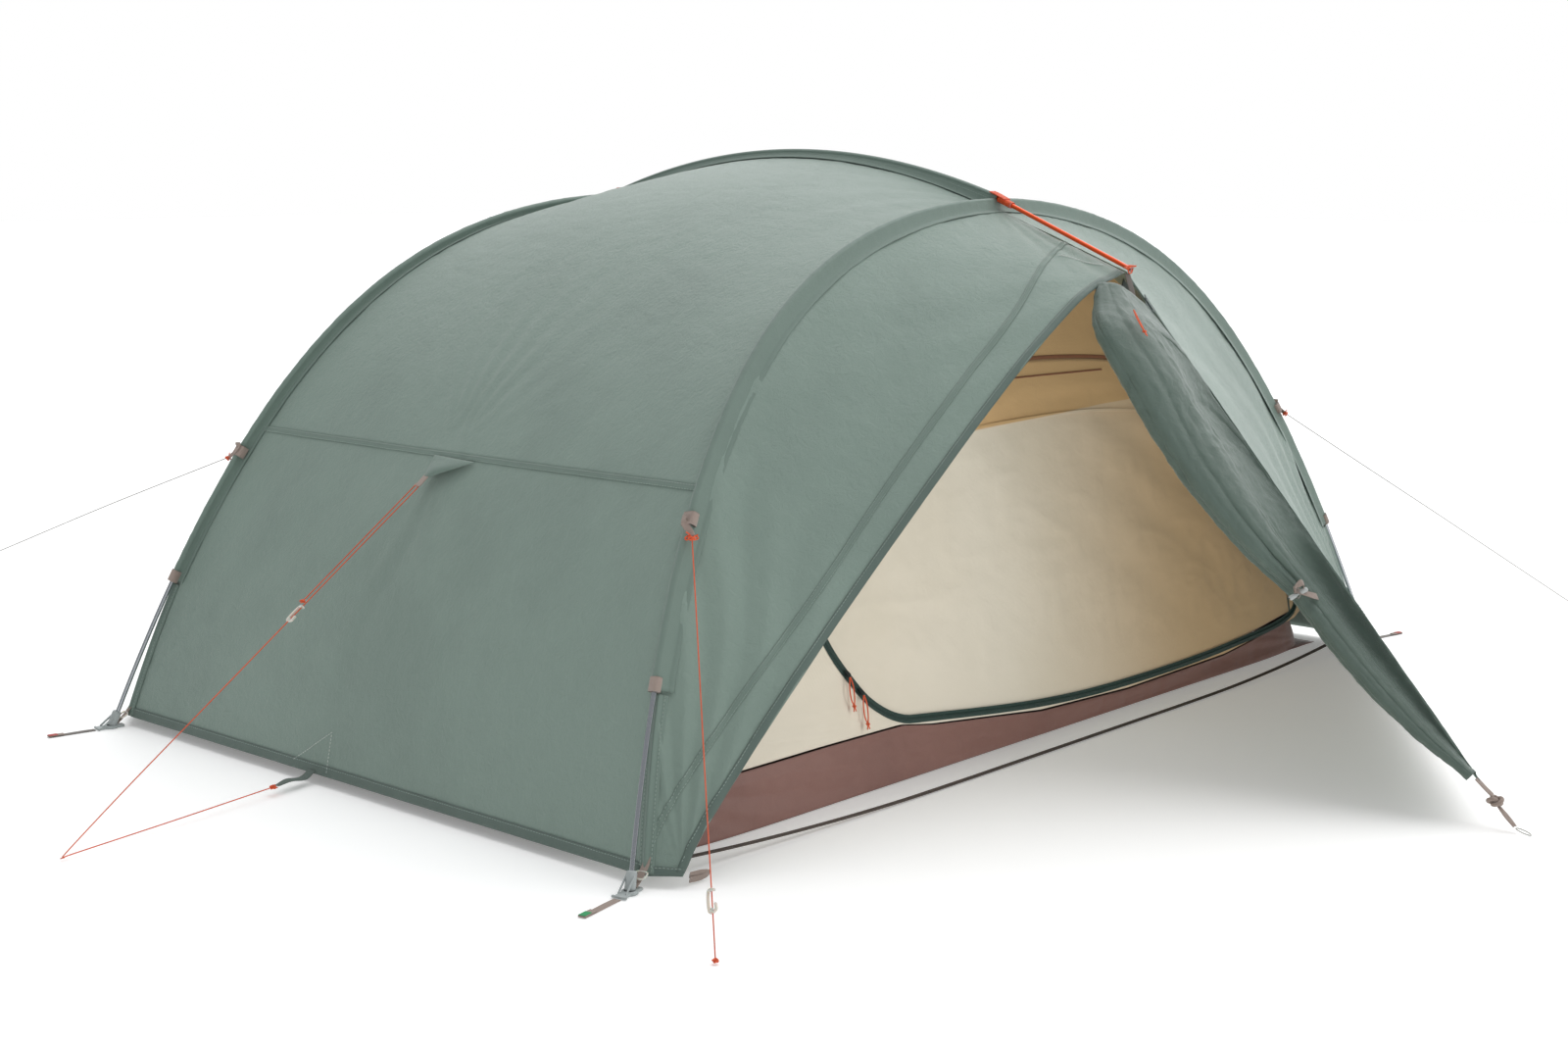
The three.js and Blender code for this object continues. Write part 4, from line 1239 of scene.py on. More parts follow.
def rolled_cloth(rows=180, columns=236, turns=3.1):
    """The rolled door: a spiral of cloth, its turns a set share of the radius apart, round an
    oval whose size changes down the roll. Grooves run along it where it is folded, the same
    for every turn, and they deepen towards the toggle, which gathers them."""
    at = through(ROLL[:, :3], rows)
    stops = np.linspace(0, 1, rows)
    keys = travelled(ROLL[:, :3])
    soft = np.hanning(21)[1:-1] / np.hanning(21).sum()
    wide, deep = (
        np.convolve(np.pad(np.interp(stops, keys / keys[-1], ROLL[:, k]), 9, mode="edge"), soft, "valid")
        for k in (3, 4)
    )
    tangent = unit(np.gradient(at, axis=0))
    across = np.array([0.95, 0.0, 0.25])
    across = unit(across - (tangent @ across)[:, None] * tangent)
    up = np.cross(tangent, across)
    turn = 1 - (1 - np.linspace(0, 1, columns)) ** 1.25
    s, a = stops[:, None], (0.9 + (1 - turn) * turns * TAU)[None]
    pinch = np.exp(-(((s - 0.565) / 0.07) ** 2))
    wander = 0.5 * np.sin(5 * s + 1) + 0.3 * np.sin(11 * s)
    grooves = np.abs(np.sin(3 * a + wander)) ** 0.45
    fine = np.abs(np.sin(8.0 * a + 2.1 * wander + 2)) ** 0.6
    radius = 1.0 - (0.10 + 0.16 * pinch) * (1 - grooves) - (0.03 + 0.05 * pinch) * (1 - fine)
    radius = radius * (0.42 + 0.60 * turn[None])
    p = at[:, None] + (wide[:, None] * radius * np.cos(a))[..., None] * across[:, None]
    p = p + (deep[:, None] * radius * np.sin(a))[..., None] * up[:, None]
    # The cloth leaves the roll at its front and runs on to the line it is sewn to.
    fold = (FLY_TIP + (FLAP_TIP - FLY_TIP) * (0.17 + 0.82 * stops[:, None])) * [1, FRONT, 1]
    share = np.linspace(0, 1, 34)[1:, None, None]
    last, before = p[:, -1], p[:, -9]
    leave = last + unit(last - before) * np.linalg.norm(fold - last, axis=-1)[:, None] * 0.45
    web = (1 - share) ** 2 * last + 2 * share * (1 - share) * leave + share**2 * fold
    p = np.concatenate([p, web.transpose(1, 0, 2)], 1)
    return p + normals(p) * (crumple(p, 0.004, 0.055, 51) + crumple(p, 0.002, 0.022, 53))[..., None]


# The roll's cloth is drawn darker as painted shade.
roll_piece = cloth("rolled_door_cloth", rolled_cloth(), ROLL_PAINTED_SHADE_CLOTH, "fly_cloth")
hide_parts("fly_door_roll")

# The storm flap: a strip of cloth that hangs inside the zip of the closed half, seen through
# the vent, drawn near-black as painted shade for the dark gap there.
along = np.linspace(0.01, 0.34, 60)[:, None]
hang_down = np.linspace(0, 1, 24)[None]
zip_line = (FLY_TIP + (CORNER - FLY_TIP) * along) * [RIGHT, FRONT, 1]
flap_depth = 0.13 * (1 - (along / 0.36) ** 2)
flap = zip_line[:, None] + (
    flap_depth * hang_down
)[..., None] * np.array([-0.10, 0.22, -0.97]) + [0, 0.012, -0.004]
flap = flap + crumple(flap, 0.005, 0.05, 57)[..., None] * [0, 1, 0]
cloth("door_storm_flap", flap, FLAP_PAINTED_SHADE_CLOTH, "fly_cloth", 0.001)

# ---- Inner tent ----
INNER_SPAN, INNER_TOP, INNER_FOOT_Y, INNER_LEAN, TUB_Z = 1.21, 1.035, 0.72, 0.192, 0.107
WALL_OUT = unit(np.array([0.0, -1.0, INNER_LEAN]))
SILL = [(-0.700, TUB_Z), (-0.465, 0.104), (-0.369, 0.088), (0, 0.048), (0.330, 0.036), (0.750, 0.042),
        (1.092, 0.074), (1.172, TUB_Z)]
DOORWAY = [(1.080, 0.092), (0.750, 0.060), (0.330, 0.053), (0, 0.066), (-0.369, 0.105), (-0.465, 0.121),
           (
               -0.540, 0.162
           ), (-0.592, 0.216), (-0.645, 0.292), (-0.690, 0.400), (-0.690, 0.530), (-0.620, 0.650),
           (-0.480, 0.730), (-0.200, 0.772), (0.200, 0.780), (0.560, 0.742), (0.820, 0.630), (0.950, 0.480),
           (1.030, 0.330), (1.080, 0.190)]


def on_wall(x, z, face=FRONT, proud=0.0):
    """A point of an inner end wall, which leans in as it rises; proud is out from it."""
    p = np.stack([x + 0 * z, face * (INNER_FOOT_Y - INNER_LEAN * z) + 0 * x, z + 0 * x], -1)
    return p + proud * WALL_OUT * [1, -face, 1]


def wall_creases(p, seed):
    """Soft diagonal pulls and fold memory in the inner cloth."""
    slant = p[..., 0] * 0.55 + p[..., 2]
    pulls = np.cos(
        slant * 34 + 3 * lattice(p, 0.35, seed)
    ) * np.clip(lattice(p, 0.42, seed + 1) + 0.2, 0, 1)
    return crumple(p, 0.0050, 0.13, seed + 2) + crumple(p, 0.0024, 0.05, seed + 3) + 0.003 * pulls


def curved(p, height):
    """A grid moved along its normals by a height for each point."""
    return p + normals(p) * height[..., None]


loop = through([(x, z, 0) for x, z in DOORWAY + DOORWAY[:1]], 361)[:-1, :2]
middle = np.array([0.25, 0.42])
spoke = np.arctan2(loop[:, 1] - middle[1], loop[:, 0] - middle[0])


def at_angle(outline, angle):
    """Distance from the door's middle to a closed outline, in the given directions."""
    d = outline - middle
    a = np.arctan2(d[:, 1], d[:, 0])
    order = np.argsort(a)
    return np.interp(angle, a[order], np.linalg.norm(d, axis=-1)[order], period=TAU)


arch_u = np.linspace(-0.985, 0.985, 500)
arch_line = np.stack([INNER_SPAN * arch_u, INNER_TOP * bend(arch_u)], -1)
sill_x = np.linspace(1.172, -1.172, 500)
sill_line = np.stack([sill_x, np.interp(sill_x, [x for x, _ in SILL], [z for _, z in SILL]) + 0.004], -1)
outline = np.concatenate([arch_line[arch_line[:, 1] > TUB_Z + 0.004], sill_line])
outer = middle + at_angle(outline, spoke)[:, None] * np.stack([np.cos(spoke), np.sin(spoke)], -1)
share = np.linspace(0, 1, 34)[:, None, None]
ring = loop[None] * (1 - share) + outer[None] * share
wall = on_wall(ring[..., 0], ring[..., 1])
ease = np.minimum(1, share[..., 0] * 4) ** 2 * np.minimum(1, (1 - share[..., 0]) * 6)
# Where the wall is only a narrow strip below the door, it lies flat under the zip.
ease = ease * np.clip(np.linalg.norm(outer - loop, axis=-1) / 0.15 - 0.2, 0, 1)[None]
wall = wall + WALL_OUT * (wall_creases(wall, 61) * ease)[..., None]
front_wall = cloth("inner_front_wall_cloth", wall, INNER_CLOTH, "inner_cloth", 0.001, loop=True)
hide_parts("inner_front_wall")

# The door: from the lower to the upper half of its outline, with columns closer at its ends.
left, right = loop[:, 0].argmin(), loop[:, 0].argmax()
lower = np.roll(loop, -right, 0)[: (left - right) % len(loop) + 1]
upper = np.roll(loop, -left, 0)[: (right - left) % len(loop) + 1]
x = (
    loop[left, 0] + 0.006 + (
        loop[right, 0] - loop[left, 0] - 0.012
    ) * (1 - np.cos(np.linspace(0, np.pi, 170))) / 2
)
low_z = np.interp(x, lower[::-1, 0], lower[::-1, 1]) + 0.004
high_z = np.interp(x, upper[:, 0], upper[:, 1]) - 0.004
rise = np.linspace(0, 1, 90)[:, None]
door_z = low_z[None] * (1 - rise) + high_z[None] * rise
door = on_wall(x[None] + 0 * door_z, door_z, proud=-0.004)
ease = np.minimum(1, np.minimum(rise, 1 - rise) * 9) ** 2 * np.minimum(
    1, np.minimum(x - x[0], x[-1] - x) / 0.06
)[None] ** 2
pulled = fan(
    door, (0.55, -0.58, 0.705), (-1, 0, -0.06), (0, 0, 1), 1.3, 15, 0.009, 0.13, 73
) * (door_z > 0.62)
door = door + WALL_OUT * (
    (wall_creases(door, 71) + pulled - 0.004 * 4 * rise * (1 - rise)) * ease
)[..., None]
door_piece = cloth("inner_door_cloth", door, INNER_CLOTH, "inner_cloth", 0.001, body="inner_door")
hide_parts("inner_door")


def wall_tape(
    name, points, width, material, proud, slot="inner_cloth", body="tent", thick=0.0012, count=160
):
    """A ribbon on the front inner wall along x and z points."""
    line = np.array([on_wall(np.array(x), np.array(z), proud=proud) for x, z in points])
    return tape(name, line, WALL_OUT, width, material, slot, thick, count, body)


# Zip tape round the bottom and both sides of the doorway, and piping over its top.
wall_tape("inner_zip_tape", DOORWAY[17:] + DOORWAY[:12], 0.017, ZIP_TAPE, 0.0016)
wall_tape("inner_zip_coil", DOORWAY[17:] + DOORWAY[:12], 0.005, ZIP_COIL, 0.003, thick=0.0022)
wall_tape("inner_door_piping", DOORWAY[10:19], 0.008, PIPING, 0.0022, thick=0.003)
wall_tape(
    "mesh_panel_seam", [(-0.68, 0.600), (-0.4, 0.637), (0, 0.655), (0.4, 0.650), (0.8, 0.600)],
    0.007, INNER_CLOTH, -0.0005, body="inner_door", thick=0.0012
)
wall_tape(
    "mesh_panel_piping", [(-0.52, 0.700), (-0.3, 0.742), (0, 0.745), (0.4, 0.74)], 0.004, PIPING,
    -0.0010, body="inner_door", thick=0.0014
)

for side_name, side in SIDES.items():
    u = np.linspace(u_at(TUB_Z + 0.003, INNER_TOP), 0.0, 110)
    arch_z = INNER_TOP * bend(u)
    across = np.linspace(-1, 1, 90)
    p = np.stack(
        [np.repeat(side * (INNER_SPAN * u + 0.0006)[:, None], 90, 1),
         across[None] * (INNER_FOOT_Y - INNER_LEAN * arch_z - 0.002)[:, None],
         np.repeat(arch_z[:, None], 90, 1)], -1
    )
    ease = np.minimum(1, 10 * (1 - np.abs(across)))[None] * np.minimum(
        1, 10 * np.linspace(0, 1, 110)
    )[:, None]
    p = curved(p, wall_creases(p, 81) * ease)
    inner_side = cloth(f"inner_side_cloth_{side_name}", p, INNER_CLOTH, "inner_cloth", 0.001)
    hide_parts(f"inner_side_{side_name}")
u = np.linspace(-1, 1, 140) * u_at(TUB_Z + 0.018, INNER_TOP)
share = np.linspace(0, 1, 70)[:, None]
p_z = (TUB_Z + 0.003) * (1 - share) + INNER_TOP * bend(u)[None] * share
p = on_wall(INNER_SPAN * u[None] + 0 * p_z, p_z, REAR)
rear_wall = cloth(
    "inner_rear_wall_cloth", curved(p, wall_creases(p, 91)), INNER_CLOTH, "inner_cloth", 0.001
)
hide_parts("inner_rear_wall")


def tub_ring(z, count=900):
    """The groundsheet's outline at each height: a rectangle with round corners, smaller as
    it rises. z has one row for each ring."""
    a = np.linspace(0, TAU, count, endpoint=False)
    power = 14
    c, s = np.cos(a), np.sin(a)
    r = (np.abs(c) ** power + np.abs(s) ** power) ** (-1 / power)
    x = r * c * (1.2 - 0.26 * z)
    y = r * s * (INNER_FOOT_Y - INNER_LEAN * z)
    return np.stack([x, y, z + 0 * x], -1)


base = tub_ring(np.zeros((1, 1)))[0]
top = np.where(base[:, 1] < -0.6, np.interp(base[:, 0], [x for x, _ in SILL], [z for _, z in SILL]), TUB_Z)
share = np.linspace(0, 1, 22)[:, None]
tub = tub_ring(0.0012 + (top[None] - 0.0012) * share)
rays = sum(
    fan(
        tub, (x, -0.72, 0.02 if x > 0 else 0.1), (-np.sign(x), 0, 0.10 if x > 0 else -0.1),
        (0, 0, 1), 0.7, 34, 0.006, 0.5, 96
    )
    for x in (-1.15, 1.15)
)
swell = (
    crumple(tub, 0.004, 0.07, 95) + 0.5 * rays
) * np.minimum(1, share * 5) * np.minimum(1, (1 - share) * 8)
tub = tub + normals(tub, loop=True) * swell[..., None]
tub_piece = cloth("groundsheet_edge_cloth", tub, GROUND_CLOTH, "groundsheet_cloth", 0.0012, loop=True)
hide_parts("groundsheet")
fx, fy = np.meshgrid(np.linspace(-1.19, 1.19, 120), np.linspace(-0.712, 0.712, 80), indexing="ij")
floor_grid = np.stack([fx, fy, 0.0016 + 0 * fx], -1)
floor_grid[..., 2] += np.clip(crumple(floor_grid, 0.003, 0.12, 97), 0, None)
ground = cloth("groundsheet_floor_cloth", floor_grid, GROUND_CLOTH, "groundsheet_cloth", 0.001)
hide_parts("groundsheet")

# ---- Feet ----
def lathe(profile, start, way, count=28):
    """Rings round a line: profile is (distance along it, radius)."""
    profile = np.asarray(profile, float)
    path = start + profile[:, :1] * way
    side = unit(np.cross(way, (0.21, 0.34, 0.92)))
    return path[:, None] + profile[:, 1, None, None] * (
        circle(1, count)[None, :, :1] * side + circle(1, count)[None, :, 1:] * np.cross(way, side)
    )


def bar(start, end, section, up, swell=(0.8, 0.97, 1)):
    """A bar between two points with its ends rounded off."""
    start, end = np.asarray(start, float), np.asarray(end, float)
    stops = np.array([0, 0.02, 0.06, 0.5, 0.94, 0.98, 1])
    return carried(start + (end - start) * stops[:, None], section, up, grow=np.r_[swell, 1, swell[::-1]])


def wire(name, points, radius, material, slot, body="tent", count=80, closed=False):
    """A round wire or cord along a smooth line. A closed one has its last ring joined to its first."""
    points = [np.asarray(q, float) for q in points]
    if closed:
        line = through(points[-2:] + points + points[:3], 9 * count)
        a = int(np.linalg.norm(line - points[0], axis=-1)[: 4 * count].argmin())
        b = 4 * count + int(np.linalg.norm(line[4 * count :] - points[0], axis=-1).argmin())
        line = even(line[a : b + 1], count + 1)[:-1]
        tangent = unit(np.roll(line, -1, 0) - np.roll(line, 1, 0))
        up = unit(line - line.mean(0) + 1e-6)
        up = unit(up - (up * tangent).sum(-1, keepdims=True) * tangent)
        side = np.cross(tangent, up)
        rings = line[:, None] + radius * (
            circle(1, 10)[None, :, :1] * side[:, None] + circle(1, 10)[None, :, 1:] * up[:, None]
        )
        faces = grid_faces(count + 1, 10, loop=True) % (count * 10)
        return make_piece(name, rings, faces, material, slot, body, ring_map(rings))
    rings = carried(through(points, count), circle(radius, 10), (0.13, 0.31, 0.94))
    return make_piece(name, *skin(rings), material, slot, body, ring_map(rings))


FOOT_BODIES = {("front", "left"): "foot_strap_fl", ("front", "right"): "foot_strap_fr",
               ("rear", "left"): "foot_strap_rl", ("rear", "right"): "foot_strap_rr"}
for face_name, face in FACES.items():
    for side_name, side in SIDES.items():
        at = main_pole(np.array(float(side)), face)
        up = unit(main_pole(np.array(side * 0.96), face) - at)
        out = unit(np.array([side, face * 0.2, 0.0]))
        across = np.array([-out[1], out[0], 0.0])
        shapes = [
            skin(lathe([(0.0005, 0.0060), (0.0012, 0.0088), (0.006, 0.0098), (0.030, 0.0094), (0.033, 0.0090),
                        (0.0345, 0.0076), (0.0345, 0.0052)], at + [0, 0, 0.004], up)),
            skin(
                lathe(
                    [(0, 0.0135), (0.0012, 0.0150), (0.0048, 0.0150), (0.0062, 0.0138), (0.0066, 0.0100)],
                    at + [0, 0, 0.0003], np.array([0, 0, 1.0])
                )
            ),
            skin(
                bar(
                    at - out * 0.026 + [0, 0, 0.0034], at + out * 0.031 + [0, 0, 0.0034],
                    rounded(0.020, 0.0056, 0.002), (0, 0, 1)
                )
            ),
            skin(
                bar(
                    at + out * 0.031 - across * 0.0145 + [0, 0, 0.0034],
                    at + out * 0.031 + across * 0.0145 + [0, 0, 0.0034],
                    rounded(0.005, 0.005, 0.002), (0, 0, 1)
                )
            ),
        ]
        for k in (-1, 1):
            rib = at + across * 0.008 * k + [0, 0, 0.006]
            shapes.append(
                skin(
                    bar(
                        rib + out * 0.022, rib + up * 0.026 + out * 0.002,
                        rounded(0.0024, 0.004, 0.0009), (0, 0, 1)
                    )
                )
            )
        points, faces = join_shapes(shapes)
        moulding = make_piece(
            f"foot_moulding_{face_name}_{side_name}", points, faces, FOOT_ACETAL, "plastic"
        )
        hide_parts(f"foot_{face_name}_{side_name}")
        # The strap: one layer of webbing with a folded loop at the end and a woven tag on it.
        body = FOOT_BODIES[face_name, side_name]
        start = at * [1, 1, 0] + out * 0.0365 + [0, 0, 0.0012]
        lay = [
            start, start + out * 0.03 + [0, 0, 0.0004], start + out * 0.07,
            start + out * 0.098 + [0, 0, 0.0003]
        ]
        strap = tape(
            f"foot_strap_webbing_{face_name}_{side_name}", lay, (0, 0, 1), 0.015,
            GREY_WEBBING if side * face == -1 else TAUPE_WEBBING, "webbing", body=body
        )
        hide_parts(f"foot_strap_{face_name}_{side_name}")
        fold = [
            start + out * d + [0, 0, z]
            for d, z in ((0.066, 0.0022), (0.085, 0.0024), (0.0975, 0.0022), (0.0992, 0.0008))
        ]
        tape(
            f"foot_strap_fold_{face_name}_{side_name}", fold, (0, 0, 1), 0.015, TAUPE_WEBBING,
            "webbing", body=body
        )
        tag = [start + out * d + [0, 0, 0.0036] for d in (0.080, 0.090, 0.099)]
        tape(
            f"foot_strap_tag_{face_name}_{side_name}", tag, (0, 0, 1), 0.0135,
            TAG_GREEN if side == face else TAG_RED, "webbing", 0.0009, body=body
        )
        # Webbing from the foot up to the fly's lower corner, with a ladder buckle on it.
        seam_end = fly_seam(np.array(HEM_U - 0.002), face) * [side, 1, 1]
        low = at - out * 0.012 + [0, 0, 0.009]
        tape(
            f"foot_webbing_{face_name}_{side_name}",
            [
                low, low * 0.5 + seam_end * 0.5 + [0, 0, 0.004], seam_end + [0, 0, 0.012],
                seam_end + up * 0.035 - out * 0.001
            ],
            out + [0, 0, 0.4], 0.014, TAUPE_WEBBING, "webbing"
        )
        buckle = low * 0.4 + seam_end * 0.6 + [0, 0, 0.005] + out * 0.003
        rail = unit(seam_end - low)
        frame_line = [
            buckle + rail * a + across * b
            for a, b in ((-0.007, -0.010), (0.007, -0.010), (0.007, 0.010), (-0.007, 0.010))
        ]
        wire(
            f"foot_buckle_{face_name}_{side_name}", frame_line, 0.0016, RUNNER_ACETAL,
            "runner_plastic", closed=True
        )
    # It lies on the ground in the middle and rises to the feet.
    line = []
    for x in np.linspace(-1.245, 1.245, 13):
        lift = max(0, (abs(x) - 0.45) / 0.8) ** 2
        line.append((x, face * (0.812 - 0.022 * lift), 0.004 + 0.030 * lift))
    strap = tape(
        f"base_strap_webbing_{face_name}", line, (0, 0.30 * face, 0.95), 0.009, STRAP_WEBBING,
        "webbing", count=160
    )
    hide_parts(f"base_strap_{face_name}")
    for side in (LEFT, RIGHT):
        corner = np.array([side * 1.205, face * 0.846, 0.016])
        loop_line = [corner + [0, 0, 0.003], corner + [-side * 0.022, face * 0.004,
            0.003], corner + [-side * 0.040, face * 0.004, -0.002],
                     corner + [-side * 0.024, face * 0.003, -0.006], corner + [0, 0, -0.005]]
        tape(
            f"corner_loop_{face_name}_{'left' if side == LEFT else 'right'}", loop_line,
            (0, 1, 0.3), 0.012, TAUPE_WEBBING, "webbing"
        )

# ---- Vestibule pegging ----
for face_name, face in FACES.items():
    line = [
        (0.004 * k, face * y, z) for k,
        (y, z) in enumerate(((1.676, 0.088), (1.691, 0.073), (1.705, 0.060)))
    ]
    tape(f"peg_strap_upper_{face_name}", line, (0, 0.7 * face, 0.7), 0.015, TAUPE_WEBBING, "webbing")
    knot(f"peg_strap_knot_{face_name}", (0.004, face * 1.713, 0.052), 0.0095, TAUPE_WEBBING)
    lower = [
        tape(f"peg_strap_tail_{k}_{face_name}", [(0.003, face * 1.716, 0.048),
            (0.003 + d, face * 1.735, 0.029), (0.002 + d * 0.6, face * 1.753, 0.0125)],
             (d * 40, 0.6 * face, 0.7), 0.009, TAUPE_WEBBING, "webbing")
        for k, d in enumerate((-0.004, 0.005))
    ]
    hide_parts(f"peg_strap_{face_name}")
    lift = np.array([0, math.cos(0.25) * face, -math.sin(0.25)])
    ring = []
    for a in np.linspace(0, TAU, 12, endpoint=False):
        ring.append(
            np.array([0, face * 1.770, 0.0065]) + [0.0068 * math.cos(a), 0, 0] + lift * 0.0146 * math.sin(a)
        )
    hook = wire(
        f"peg_hook_wire_{face_name}", ring, 0.0012, STEEL_WIRE, "steel", f"hook_{face_name}", 60,
        closed=True
    )
    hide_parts(f"peg_hook_{face_name}")

# ---- Zips' sliders and pulls ----
zip_way = unit((CORNER - FLY_TIP) * [RIGHT, FRONT, 1])
low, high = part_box("fly_zip_slider")
zip_at = (np.array(low) + np.array(high)) / 2
zip_out = np.array([0.2, -0.88, 0.4])
zip_out = unit(zip_out - (zip_out @ zip_way) * zip_way)


def slider_shape(at, way, out, size):
    """A zip slider: two shells pinched at the back, a bridge over the top and a flat puller."""
    length, width, height = size
    stops = np.array([-0.5, -0.42, -0.1, 0.3, 0.46, 0.5])[:, None] * length
    grow = np.array([0.55, 0.68, 0.86, 1.0, 0.97, 0.85])
    shapes = [
        skin(
            carried(
                at + way * stops + out * k * height * 0.26,
                rounded(width, height * 0.26, height * 0.1), out, grow=grow
            )
        )
        for k in (-1, 1)
    ]
    arch = through(
        [
            at + way * length * a + out * height * b
            for a, b in ((-0.3, 0.3), (-0.2, 0.62), (0.15, 0.62), (0.28, 0.3))
        ],
        14
    )
    shapes.append(skin(carried(arch, rounded(width * 0.28, height * 0.14, height * 0.05), out)))
    return shapes


points, faces = join_shapes(slider_shape(zip_at, zip_way, zip_out, (0.020, 0.011, 0.007)) + [
    skin(
        bar(
            zip_at + zip_out * 0.0048 - zip_way * 0.002,
            zip_at + zip_out * 0.0052 + zip_way * 0.024, rounded(0.0055, 0.0014, 0.0005), zip_out
        )
    )
])
fly_slider = make_piece("fly_zip_slider_body", points, faces, DARK_METAL, "zip_metal", "fly_zip")
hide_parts("fly_zip_slider")


def cord_pull(name, top, end, body, node, spread=0.0042, radius=0.0013):
    """A loop of cord through a slider, tied in a knot at its end, with two short tails."""
    top, end = np.asarray(top, float), np.asarray(end, float)
    side = unit(np.cross(end - top, (0, 1, 0.1)))
    knot_at = top + (end - top) * 0.84
    strands = [
        top + side * 0.001 + [0, 0, 0.002], top + (end - top) * 0.25 + side * spread,
        top + (end - top) * 0.6 + side * spread * 0.8, knot_at
    ]
    made = wire(name + "_strand_a", strands, radius, ORANGE_CORD, "cord", body, 40)
    strands = [
        top - side * 0.001 + [0, 0, 0.002], top + (end - top) * 0.3 - side * spread,
        top + (end - top) * 0.62 - side * spread, knot_at
    ]
    wire(name + "_strand_b", strands, radius, ORANGE_CORD, "cord", body, 40)
    knot(name + "_knot", knot_at, 0.0026, body=body)
    for k, tail in enumerate((-1, 1)):
        wire(
            f"{name}_tail_{k}",
            [knot_at, knot_at + (end - top) * 0.09 + side * 0.002 * tail, end + side * 0.0035 * tail],
            radius * 0.9, ORANGE_CORD, "cord", body, 12
        )
    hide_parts(node)


for level in ("upper", "lower"):
    low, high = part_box(f"inner_zip_slider_{level}")
    at = (np.array(low) + np.array(high)) / 2
    way = unit(np.array([0.62, -0.15, -0.77]))
    points, faces = join_shapes(slider_shape(at, way, WALL_OUT, (0.015, 0.009, 0.005)))
    body = make_piece(
        f"inner_slider_body_{level}", points, faces, DARK_METAL, "zip_metal", f"inner_zip_{level}"
    )
    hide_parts(f"inner_zip_slider_{level}")
    low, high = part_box(f"inner_zip_pull_{level}")
    x, y = (low[0] + high[0]) / 2, (low[1] + high[1]) / 2
    cord_pull(
        f"inner_pull_cord_{level}", (x, high[1] - 0.003, high[2]), (x, low[1] + 0.002, low[2]),
        f"inner_pull_{level}", f"inner_zip_pull_{level}", 0.0055
    )
cord_pull("fly_pull_cord", (-0.140, -1.005, 0.916), (-0.160, -1.048, 0.873), "fly_pull", "fly_zip_pull")

# ---- Toggle on the rolled door ----
toggle_at, toggle_way = np.array([-0.092, -1.352, 0.402]), unit(np.array([0.75, -0.5, 0.43]))
profile = [(-0.020, 0.0022), (-0.0195, 0.0040), (-0.017, 0.0050), (-0.006, 0.0044), (-0.0045, 0.0030),
    (0.0045, 0.0030),
           (0.006, 0.0044), (0.017, 0.0050), (0.0195, 0.0040), (0.020, 0.0022)]
toggle = make_piece(
    "toggle_bar", *skin(lathe(profile, toggle_at, toggle_way)), TOGGLE_ACETAL, "plastic", "toggle"
)
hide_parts("door_toggle")
loop_round = (
    (0.003, 0.010, 0.006), (-0.004, 0.001, 0.009), (-0.003, -0.0055, 0.002),
    (0.002, 0.000, -0.0085), (0.007, 0.011, -0.005)
)
wire("toggle_elastic", [toggle_at + d for d in loop_round], 0.0012, PALE_CORD, "cord", closed=True)
hold = np.array([-0.066, -1.340, 0.395])
tape(
    "toggle_strap",
    [
        hold + d
        for d in (
            (-0.030, -0.004, 0.014), (-0.020, -0.014, 0.010), (0.000, -0.028, 0.002),
            (0.024, -0.026, -0.004), (0.040, -0.010, -0.004)
        )
    ],
    (0.2, -0.8, 0.5), 0.014, TAUPE_WEBBING, "webbing"
)
tape(
    "toggle_strap_fold",
    [
        hold + d
        for d in (
            (-0.030, -0.006, 0.012), (-0.038, -0.012, 0.020), (-0.030, -0.020, 0.030),
            (-0.018, -0.018, 0.024), (-0.014, -0.016, 0.012)
        )
    ],
    (0.2, -0.8, 0.5), 0.012, TAUPE_WEBBING, "webbing"
)

# ---- Guy tabs, patches and bows ----
def bow(name, at, way, across, size=0.012, material=None, radius=0.0013):
    """A cord tied in a bow: a tail, two loops side by side and a second tail."""
    at, way, across = np.asarray(at, float), unit(np.asarray(way, float)), unit(np.asarray(across, float))
    out = np.cross(way, across)
    shape = ((-1.5, -0.6, 0.1), (-0.5, -0.2, 0.2), (0, 0, 0.25), (1.2, 0.5, 0.3), (1.6, 0.0, 0.1),
        (0.9, -0.4, 0.2), (0, 0, 0.1),
             (-1.0, 0.5, 0.2), (-1.5, 0.1, 0.0), (-0.8, -0.3, 0.1), (0, 0.1, 0.25), (0.6, -0.8, 0.1),
             (1.4, -1.4, 0.0))
    line = [at + size * (a * across + b * way + c * out) for a, b, c in shape]
    return wire(name, line, radius, material or ORANGE_CORD, "cord", count=120)


for name, (side, face, end) in {
    "front_left": (LEFT, FRONT, CORDS["guyline_front_left"][0]),
    "rear_left": (LEFT, REAR, CORDS["guyline_rear_left"][0]),
    "front_right": (RIGHT, FRONT, CORDS["guyline_front_right"][0]),
}.items():
    end = np.array(end)
    z_patch = end[2] + 0.016
    u_mid = u_at(z_patch)
    rod = main_pole(np.array(side * u_mid), face)
    away = unit(rod - fly_seam(np.array(u_mid), face) * [side, 1, 1])
    first = rod + away * 0.0105 + [0, 0, 0.012]
    pull = unit(end - rod)
    line = [first, rod + away * 0.0115, rod * 0.35 + end * 0.65 + away * 0.002, end]
    tape(f"guy_loop_{name}", line, away + [0, 0, 0.3], 0.013, TAUPE_WEBBING, "webbing")
    bow(f"guy_bow_{name}", end + [0, 0, -0.002], (0, 0, -1), np.cross(pull, (0, 0, 1)), 0.0075)

